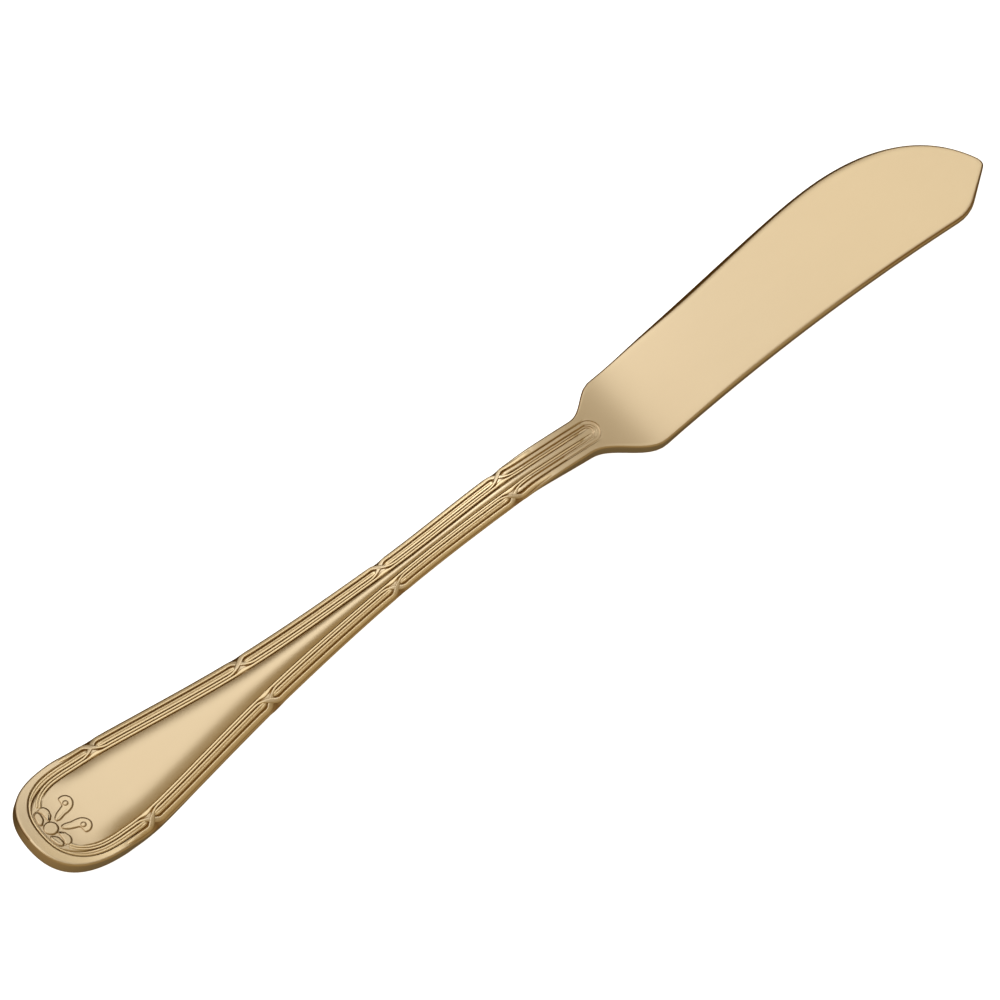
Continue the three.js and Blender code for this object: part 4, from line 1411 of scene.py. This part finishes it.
@dataclass
class Mouldings:
    """The border's mouldings on both sides, the reed round the end and the arches across the neck."""

    setting: Setting
    blank: Blank
    moulder: Moulder
    step: float = 0.22
    lead: float = 1.2
    over_step: float = 0.05
    outer_fade: float = 2.6
    outer_point: float = 0.1
    outer_point_length: float = 3.2
    strand_highlight: float = 1.5
    tie_shade: float = 0.85
    tie_reach: float = 1.4
    reed_round: float = 1.0
    reed_round_points: int = 9
    reed_gap: float = 1.3
    reed_step: float = 0.5
    reed_facets: int = 31
    reed_fullness: float = 1.2
    least_taper: float = 0.02
    channel_setback: float = 0.5
    channel_fade: float = 0.8
    end_channel_fade: float = 4.0
    rail_setback: float = 3.0
    rail_swell: float = 0.14
    outer_arch_half: float = 0.28
    outer_arch_setback: float = 0.33
    inner_arch_half: float = 0.14
    inner_arch_start: float = 3.0
    inner_arch_setback: float = 1.2
    arch_proud: float = 0.004
    leg_step: float = 0.3
    leg_fade: float = 0.6
    leg_point: float = 0.45
    head_points: int = 33
    head_lead: float = 1.0
    head_rise: float = 0.75
    head_shade: Span = (1.0, 0.5)
    line_half: float = 0.065
    line_clearance: float = 0.04
    line_start: float = 9.0
    line_rise: float = 0.006
    line_shade: Span = (0.75, 0.2)
    line_span: Span = (-0.9, 0.6)

    def lay(self, s: np.ndarray, depth: np.ndarray, half: np.ndarray, rise: np.ndarray, side: Side) -> Run:
        """Path on the band's floor.

        Args:
            s: Distances along the outline, less than 0 on the other side.
            depth: Depth inside it.
            half: Half widths.
            rise: Heights over the floor.
            side: Side of the spreader.

        Returns:
            The path.
        """
        plan, profile, border = self.blank.plan, self.blank.profile, self.blank.border
        far = np.abs(s)
        x, y = plan.inside(far, depth).T
        flip = np.where(s < 0, -1, 1) * side.value
        sunk, tilt = border.sunk(far), profile.tilt(x)
        points = np.column_stack([x - tilt * sunk, y * flip, profile.top(x) - sunk - border.fall(depth, far)])
        lean, ahead = border.lean(depth, far), plan.handle.along(far)
        up = np.column_stack([tilt - lean * ahead[:, 1], lean * ahead[:, 0] * flip, np.ones_like(x)])
        return Run(points, half, rise, up / np.linalg.norm(up, axis=1, keepdims=True))

    def rises(self, s: np.ndarray, start: float, stop: float, fade: float) -> np.ndarray:
        """Heights over the floor that come up at one end and die away at the other."""
        return self.blank.border.sunk(s) * (ease((s - start) / fade) * ease((stop - s) / fade))

    def taper(self, tip: np.ndarray) -> np.ndarray:
        """Share of a reed's width at a distance from its round tip."""
        near = 1 - np.clip(tip / self.reed_round, self.least_taper, 1)
        return np.sqrt(np.clip(1 - near**2, 0, 1))

    def ribbon(self, side: Side) -> bpy.types.Object:
        """Two strands that cross at the ties.

        Args:
            side: Side of the spreader.

        Returns:
            The ribbon.
        """
        border, marks = self.blank.border, self.blank.plan.tie_marks
        stop = marks[3] + border.neck_rim_span[1]
        runs = []
        for outside in (True, False):
            start = marks[0] + border.end_rim_span[0] if outside else border.start - self.lead
            s = np.arange(start, stop, self.step)
            depth, half = border.strand(s, outside)
            rise = self.rises(s, start, stop, self.outer_fade if outside else self.lead)
            if outside:
                rise = rise + self.over_step * border.sunk(s) / border.relief
                half = half * blend(s, start, start + self.outer_point_length, self.outer_point, 1.0)
            run = self.lay(s, depth, half, rise, side)
            # Painted highlight along the strands' crests, dimmed by painted shade at the ties
            run.crest_shading = self.strand_highlight - self.tie_shade * border.tie(s, self.tie_reach)
            runs.append(run)
        name = f"crossed_ribbon_{side.label}"
        return self.moulder.sweep(self.setting, name, runs, Crest.FULL, [f"{side.label}_ribbon"])

    def reed(self, side: Side, eyelet: int) -> bpy.types.Object:
        """Channelled reed in the eyelet between two ties.

        Args:
            side: Side of the spreader.
            eyelet: Number of the eyelet, from the handle's end.

        Returns:
            The reed.
        """
        border, marks = self.blank.border, self.blank.plan.tie_marks
        start, stop = marks[eyelet] + border.reed_setback, marks[eyelet + 1] - border.reed_setback
        tip = self.reed_round * (1 - np.cos(np.linspace(0, np.pi / 2, self.reed_round_points)))
        middle = np.arange(start + self.reed_gap, stop - self.reed_gap, self.reed_step)
        s = np.concatenate([start + tip, middle, stop - tip[::-1]])
        end = np.minimum(s - start, stop - s)
        taper = self.taper(end)
        half = border.reed_half * border.ratio(s) * taper
        rise = border.sunk(s) * np.clip(taper * self.reed_fullness, 0, 1)
        run = self.lay(s, border.depth(border.reed, s), half, rise, side)
        run.channel = ease((end - self.channel_setback) / self.channel_fade)
        name, node = f"reed_{side.label}_{eyelet + 1}", f"{side.label}_reed_{eyelet + 1}"
        return self.moulder.sweep(self.setting, name, [run], Crest.CHANNELLED, [node], self.reed_facets)

    def rail(self, side: Side) -> bpy.types.Object:
        """Thin rail between the ribbon and the panel, which swells towards each tie.

        Args:
            side: Side of the spreader.

        Returns:
            The rail.
        """
        border = self.blank.border
        start, stop = border.start - self.lead, self.blank.plan.arch_mark - self.rail_setback
        s = np.arange(start, stop, self.step)
        swell = self.rail_swell * border.tie(s, self.tie_reach)
        half = (border.rail_half + swell) * border.ratio(s)
        depth = border.depth(border.rail - swell, s)
        run = self.lay(s, depth, half, self.rises(s, start, stop, self.lead), side)
        name, node = f"rail_{side.label}", f"{side.label}_rail"
        return self.moulder.sweep(self.setting, name, [run], Crest.FULL, [node])

    def end_reed(self) -> bpy.types.Object:
        """Reed round the handle's end, thin behind the flower.

        Returns:
            The reed.
        """
        border = self.blank.border
        reach = self.blank.plan.tie_marks[0] - border.reed_setback
        half_way = np.arange(self.step / 2, reach, self.step)
        s = np.concatenate([-half_way[::-1], half_way])
        far = np.abs(s)
        taper = self.taper(reach - far)
        rise = border.sunk(far) * np.clip(taper * self.reed_fullness, 0, 1)
        run = self.lay(s, border.reed_line(far), border.reed_width(far) * taper, rise, Side.LEFT)
        run.channel = ease((far - border.start) / self.end_channel_fade)
        run.channel = run.channel * ease((reach - far - self.channel_setback) / self.channel_fade)
        return self.moulder.sweep(self.setting, "reed_end", [run], Crest.CHANNELLED, ["end_reed"],
                                  self.reed_facets)

    def arch(self, arch: Arch) -> bpy.types.Object:
        """Arch across the neck: two legs along the border and a round head, with a thin strip painted dark as
        a shade line on both sides.

        Args:
            arch: Sizes and names of the arch.

        Returns:
            The arch.
        """
        border, plan, profile = self.blank.border, self.blank.plan, self.blank.profile
        head = plan.arch - arch.setback
        radius = float(plan.half_width(head)) - float(border.depth(arch.line, plan.arch_mark))
        spring = head - radius
        turn = np.linspace(np.pi / 2, -np.pi / 2, self.head_points)
        away = arch.half + self.line_clearance
        runs = []
        for aside in (0.0, away, -away):
            ridge = aside == 0.0
            start = plan.tie_marks[3] + arch.start + (0.0 if ridge else self.line_start)
            s = np.arange(start, float(plan.handle.where(spring)), self.leg_step)
            leg = plan.inside(s, border.depth(arch.line, s) - aside)
            bow = np.column_stack([spring + (radius + aside) * np.cos(turn), (radius + aside) * np.sin(turn)])
            spots = np.vstack([leg, bow, leg[::-1] * (1, -1)])
            x, y = spots.T
            sunk = border.sunk(plan.handle.where(x))
            fade = ease((x - leg[0, 0]) / self.leg_fade)
            if ridge:
                wide = arch.half
                share = blend(x, spring - self.head_lead, head, 1.0, self.head_rise)
                rise = (sunk * share + self.arch_proud) * fade
                # The ridge is plain on its legs and takes painted shade towards its head
                crest_shading = blend(x, spring - self.head_lead, head, *self.head_shade)
            else:
                # Each line is a thin strip painted dark as a shade line, darker towards the left
                wide = self.line_half
                rise = np.full(len(x), self.line_rise)
                start, stop = (radius * part for part in self.line_span)
                crest_shading = blend(y, start, stop, *self.line_shade)
            points = np.column_stack([spots, profile.top(x) - sunk])
            half = wide * (self.leg_point + (1 - self.leg_point) * fade)
            runs.append(Run(points, half, rise, np.tile([0.0, 0.0, 1.0], (len(x), 1)), crest_shading=crest_shading))
        return self.moulder.sweep(self.setting, arch.name, runs, Crest.FULL, [arch.node])

    def build(self) -> None:
        """Makes every moulding of the border."""
        border = self.blank.border
        self.end_reed()
        for side in Side:
            self.ribbon(side)
            for eyelet in range(len(self.blank.plan.ties) - 1):
                self.reed(side, eyelet)
            self.rail(side)
        self.arch(Arch("neck_arch_outer", "neck_arch", border.reed, self.outer_arch_half,
                       border.reed_setback, self.outer_arch_setback))
        self.arch(Arch("neck_arch_inner", "neck_inner_arch", border.inner_strand, self.inner_arch_half,
                       self.inner_arch_start, self.inner_arch_setback))


@dataclass
class Flower:
    """Small flower at the handle's end: a boss, two petals of two leaves each, and two scrolls."""

    setting: Setting
    blank: Blank
    boss_station: float = 3.45
    boss_radius: float = 1.0
    boss_height: float = 0.11
    boss_points: int = 48
    leaf_height: float = 0.09
    leaf_points: int = 6
    flank: float = 0.16
    eye: Span = (7.33, 2.02)
    eye_radius: float = 0.36
    eye_height: float = 0.06
    eye_points: int = 28
    upper_leaf: Outline = (
        (3.85, 1.02), (4.5, 1.45), (4.85, 2.3), (4.62, 3.08), (4.05, 3.4), (3.62, 3.1), (3.78, 2.3),
        (3.82, 1.6))
    lower_leaf: Outline = (
        (2.68, 1.0), (3.05, 1.25), (3.38, 1.6), (3.54, 2.2), (3.48, 2.85), (3.12, 3.08), (2.76, 2.75),
        (2.52, 2.05), (2.44, 1.35))
    strap: Outline = (
        (4.72, 0.55), (5.2, 0.4), (6.2, 0.65), (7.0, 0.75), (7.8, 1.05), (8.33, 1.7), (8.4, 2.4), (8.0, 3.0),
        (7.4, 3.22), (6.95, 3.1), (6.85, 2.5), (6.72, 2.02), (6.2, 1.8), (5.3, 1.4), (4.75, 0.9))

    # Rings of a pad from its buried foot to its face: shares of the flank and of the height, and the relief,
    # which paints shade round the foot and a slight highlight on the face
    RINGS = ((-0.5, -1.0, 0.6), (-0.5, 0.1, 0.6), (0.0, 0.11, 0.35), (0.5, 0.62, 0.5), (0.85, 0.93, 0.9),
             (1.1, 1.0, 1.1), (1.4, 1.0, 1.1))

    def seat(self, x: float, _y: float) -> float:
        """Height of the sunk field that the boss and the petals stand on, the same right across."""
        return float(self.blank.profile.top(x)) - self.blank.border.relief + self.blank.flower_field

    def crown(self, x: float, y: float) -> float:
        """Height of a scroll's face, which its eye stands on."""
        return self.blank.height(x, y) + self.leaf_height

    def pad(self, outline: np.ndarray, height: float,
            seat: Callable[[float, float], float]) -> bpy.types.Mesh:
        """Raised pad with a flat face, a steep flank and a painted shade line round it.

        Args:
            outline: Closed plan outline, anticlockwise.
            height: Height over its seat.
            seat: Height of the seat at a plan point.

        Returns:
            The closed mesh.
        """
        ahead = np.roll(outline, -1, axis=0) - np.roll(outline, 1, axis=0)
        inward = -right_of(ahead / np.linalg.norm(ahead, axis=1, keepdims=True))
        points, relief = [], []
        for share, rise, tone in self.RINGS:
            for x, y in outline + inward * self.flank * share:
                points.append((x, y, seat(x, y) + rise * height))
                relief.append(tone)
        n = len(outline)
        faces = [(r * n + i, r * n + (i + 1) % n, (r + 1) * n + (i + 1) % n, (r + 1) * n + i)
                 for r in range(len(self.RINGS) - 1) for i in range(n)]
        last = (len(self.RINGS) - 1) * n
        faces += [tuple(range(n)), tuple(range(last, last + n))]
        return shell("pad", self.setting.metres(np.array(points)), np.array(relief), faces)

    def disc(self, centre: Span, radius: float, count: int) -> np.ndarray:
        """Plan outline of a round pad."""
        turn = np.linspace(0, 2 * np.pi, count, endpoint=False)
        return np.column_stack([centre[0] + radius * np.cos(turn), centre[1] + radius * np.sin(turn)])

    def leaf(self, points: Outline, side: Side) -> np.ndarray:
        """Closed outline through a leaf's points.

        Args:
            points: Points on the left side.
            side: Side of the spreader.

        Returns:
            An array of plan points, anticlockwise on either side.
        """
        outline = spline([(x, y * side.value) for x, y in points], self.leaf_points, closed=True)
        x, y = outline.T
        turn = np.sum(x * np.roll(y, -1) - y * np.roll(x, -1))
        return outline if turn > 0 else outline[::-1]

    def join(self, meshes: list[bpy.types.Mesh], name: str) -> bpy.types.Mesh:
        """One mesh of several.

        Args:
            meshes: Meshes to join, which are removed.
            name: Name of the new mesh.

        Returns:
            The new mesh.
        """
        work = bmesh.new()
        for mesh in meshes:
            work.from_mesh(mesh)
            bpy.data.meshes.remove(mesh)
        joined = bpy.data.meshes.new(name)
        work.to_mesh(joined)
        work.free()
        return joined

    def petal(self, side: Side) -> bpy.types.Object:
        """Petal of two leaves beside the boss.

        Args:
            side: Side of the spreader.

        Returns:
            The petal.
        """
        outlines = [self.leaf(points, side) for points in (self.upper_leaf, self.lower_leaf)]
        leaves = [self.pad(outline, self.leaf_height, self.seat) for outline in outlines]
        return self.setting.dress(f"petal_{side.label}", self.join(leaves, "petal"), [f"{side.label}_petal"])

    def scroll(self, side: Side) -> bpy.types.Object:
        """Scroll that leaves the boss along the panel and curls round an eye.

        Args:
            side: Side of the spreader.

        Returns:
            The scroll.
        """
        strap = self.pad(self.leaf(self.strap, side), self.leaf_height, self.blank.height)
        eye = self.disc((self.eye[0], side.value * self.eye[1]), self.eye_radius, self.eye_points)
        mesh = self.join([strap, self.pad(eye, self.eye_height, self.crown)], "scroll")
        return self.setting.dress(f"scroll_{side.label}", mesh, [f"{side.label}_scroll"])

    def build(self) -> None:
        """Makes the boss, the petals and the scrolls."""
        outline = self.disc((self.boss_station, 0.0), self.boss_radius, self.boss_points)
        boss = self.pad(outline, self.boss_height, self.seat)
        self.setting.dress("rosette_boss_round", boss, ["rosette_boss"])
        for side in Side:
            self.petal(side)
            self.scroll(side)


@dataclass(frozen=True)
class Softbox:
    """Rectangular soft light that hangs over the floor and faces straight down, in metres."""

    name: str
    place: tuple[float, float, float]
    size: Span
    radiance: float

    def build(self) -> None:
        """Hangs the light."""
        data = bpy.data.lights.new(self.name, "AREA")
        data.shape = "RECTANGLE"
        data.size, data.size_y = self.size
        data.energy = self.radiance * math.pi * self.size[0] * self.size[1]
        light = bpy.data.objects.new(self.name, data)
        light.location = self.place
        light.visible_camera = False
        bpy.context.scene.collection.objects.link(light)


@dataclass
class Studio:
    """Pale floor, soft lights and the camera at the photograph's angle.

    Angles are in degrees and lengths in metres, apart from the lens and its sensor, which are in millimetres.
    """

    azimuth: float = -39.556
    elevation: float = 64.5
    distance: float = 0.7
    lens: float = 179.7
    sensor: float = 36.0
    clip_start: float = 0.01
    target: tuple[float, float, float] = (-0.00225, -0.00046, 0.0)
    floor_half: float = 6.0
    floor_gap: float = 5e-5
    dusk: float = 0.25
    near_tones: tuple[tuple[float, str], ...] = (
        (0.04, "#6A5F4A"), (0.1, "#75664C"), (0.45, "#A68B62"), (0.8, "#A08A62"))
    far_tones: tuple[tuple[float, str], ...] = ((0.05, "#4E3C1F"), (0.6, "#4E3C1F"), (0.9, "#94805A"))
    lights: tuple[Softbox, ...] = (
        Softbox("softbox_over", (-0.64, 0.86, 1.6), (3.72, 1.52), 0.855),
        Softbox("softbox_end", (0.024, 0.062, 0.093), (0.040, 0.026), 3.0))

    def camera(self) -> None:
        """Puts the camera in place."""
        a, e = math.radians(self.azimuth), math.radians(self.elevation)
        back = Vector((math.sin(a) * math.cos(e), -math.cos(a) * math.cos(e), math.sin(e)))
        data = bpy.data.cameras.new("camera")
        data.lens = self.lens
        data.sensor_width = self.sensor
        data.sensor_fit = "HORIZONTAL"
        data.clip_start = self.clip_start
        eye = bpy.data.objects.new("camera", data)
        eye.location = Vector(self.target) + back * self.distance
        eye.rotation_euler = (-back).to_track_quat("-Z", "Y").to_euler()
        bpy.context.scene.collection.objects.link(eye)
        bpy.context.scene.camera = eye

    def floor(self) -> None:
        """Lays a plain white floor, which the metal doesn't mirror."""
        half, low = self.floor_half, -self.floor_gap
        mesh = bpy.data.meshes.new("floor")
        corners = [(-half, -half, low), (half, -half, low), (half, half, low), (-half, half, low)]
        mesh.from_pydata(corners, [], [(0, 1, 2, 3)])
        material = bpy.data.materials.new("white_paper_sweep")
        material.use_nodes = True
        tree = material.node_tree
        tree.nodes.clear()
        # Paper lit until it is plain white, with no shade on it
        paper = add(tree, "ShaderNodeBsdfPrincipled", {"Base Color": linear("#F4F4F4"), "Roughness": 0.9,
                                                       "Emission Color": linear("#FFFFFF"),
                                                       "Emission Strength": 1.0})
        add(tree, "ShaderNodeOutputMaterial", {"Surface": paper.outputs[0]})
        mesh.materials.append(material)
        floor = bpy.data.objects.new("floor", mesh)
        bpy.context.scene.collection.objects.link(floor)
        floor.visible_glossy = False

    def surroundings(self) -> None:
        """Dim warm surroundings, brown towards the viewer and dark beyond the spreader."""
        world = bpy.data.worlds.new("studio")
        world.use_nodes = True
        tree = world.node_tree
        tree.nodes.clear()
        way = add(tree, "ShaderNodeTexCoord").outputs["Generated"]
        level = add(tree, "ShaderNodeSeparateXYZ", {0: way})
        rise = add(tree, "ShaderNodeMapRange", {"Value": level.outputs[2], "From Min": -1.0, "From Max": 1.0})
        a = math.radians(self.azimuth)
        facing = add(tree, "ShaderNodeVectorMath", {0: way, 1: (math.sin(a), -math.cos(a), 0.0)},
                     operation="DOT_PRODUCT")
        towards = add(tree, "ShaderNodeMapRange", {"Value": facing.outputs["Value"], "From Min": -self.dusk,
                                                   "From Max": self.dusk}, interpolation_type="SMOOTHSTEP")
        tone = add(tree, "ShaderNodeMix", {MIX_FACTOR: towards.outputs[0]}, data_type="RGBA")
        for number, tones in ((MIX_A, self.far_tones), (MIX_B, self.near_tones)):
            shade = add(tree, "ShaderNodeValToRGB", {0: rise.outputs[0]})
            stops = shade.color_ramp.elements
            for at, colour in tones:
                stops.new(at).color = linear(colour)
            # The two stops that a new ramp brings
            stops.remove(stops[0])
            stops.remove(stops[len(stops) - 1])
            tree.links.new(shade.outputs[0], tone.inputs[number])
        glow = add(tree, "ShaderNodeBackground", {"Color": tone.outputs[MIX_RESULT], "Strength": 1.0})
        add(tree, "ShaderNodeOutputWorld", {"Surface": glow.outputs[0]})
        bpy.context.scene.world = world

    def build(self) -> None:
        """Sets up the whole studio."""
        view = bpy.context.scene.view_settings
        view.view_transform = "Standard"
        view.look = "None"
        self.camera()
        self.floor()
        self.surroundings()
        for light in self.lights:
            light.build()


def main() -> None:
    """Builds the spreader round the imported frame, piece by piece, and the studio."""
    logging.basicConfig(level=logging.INFO, format="%(name)s: %(message)s")
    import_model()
    plan = Plan()
    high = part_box("blade")[1]
    origin = Vector((high.x - plan.box_length * MM, high.y - plan.box_rise * MM, 0.0))
    finish = SatinGold()
    setting = Setting(origin, finish, finish.build())
    blank = Blank(setting, plan, Profile(plan), Border(plan))
    blank.build()
    Mouldings(setting, blank, Moulder()).build()
    Flower(setting, blank).build()
    Studio().build()


if __name__ == "__main__":
    main()
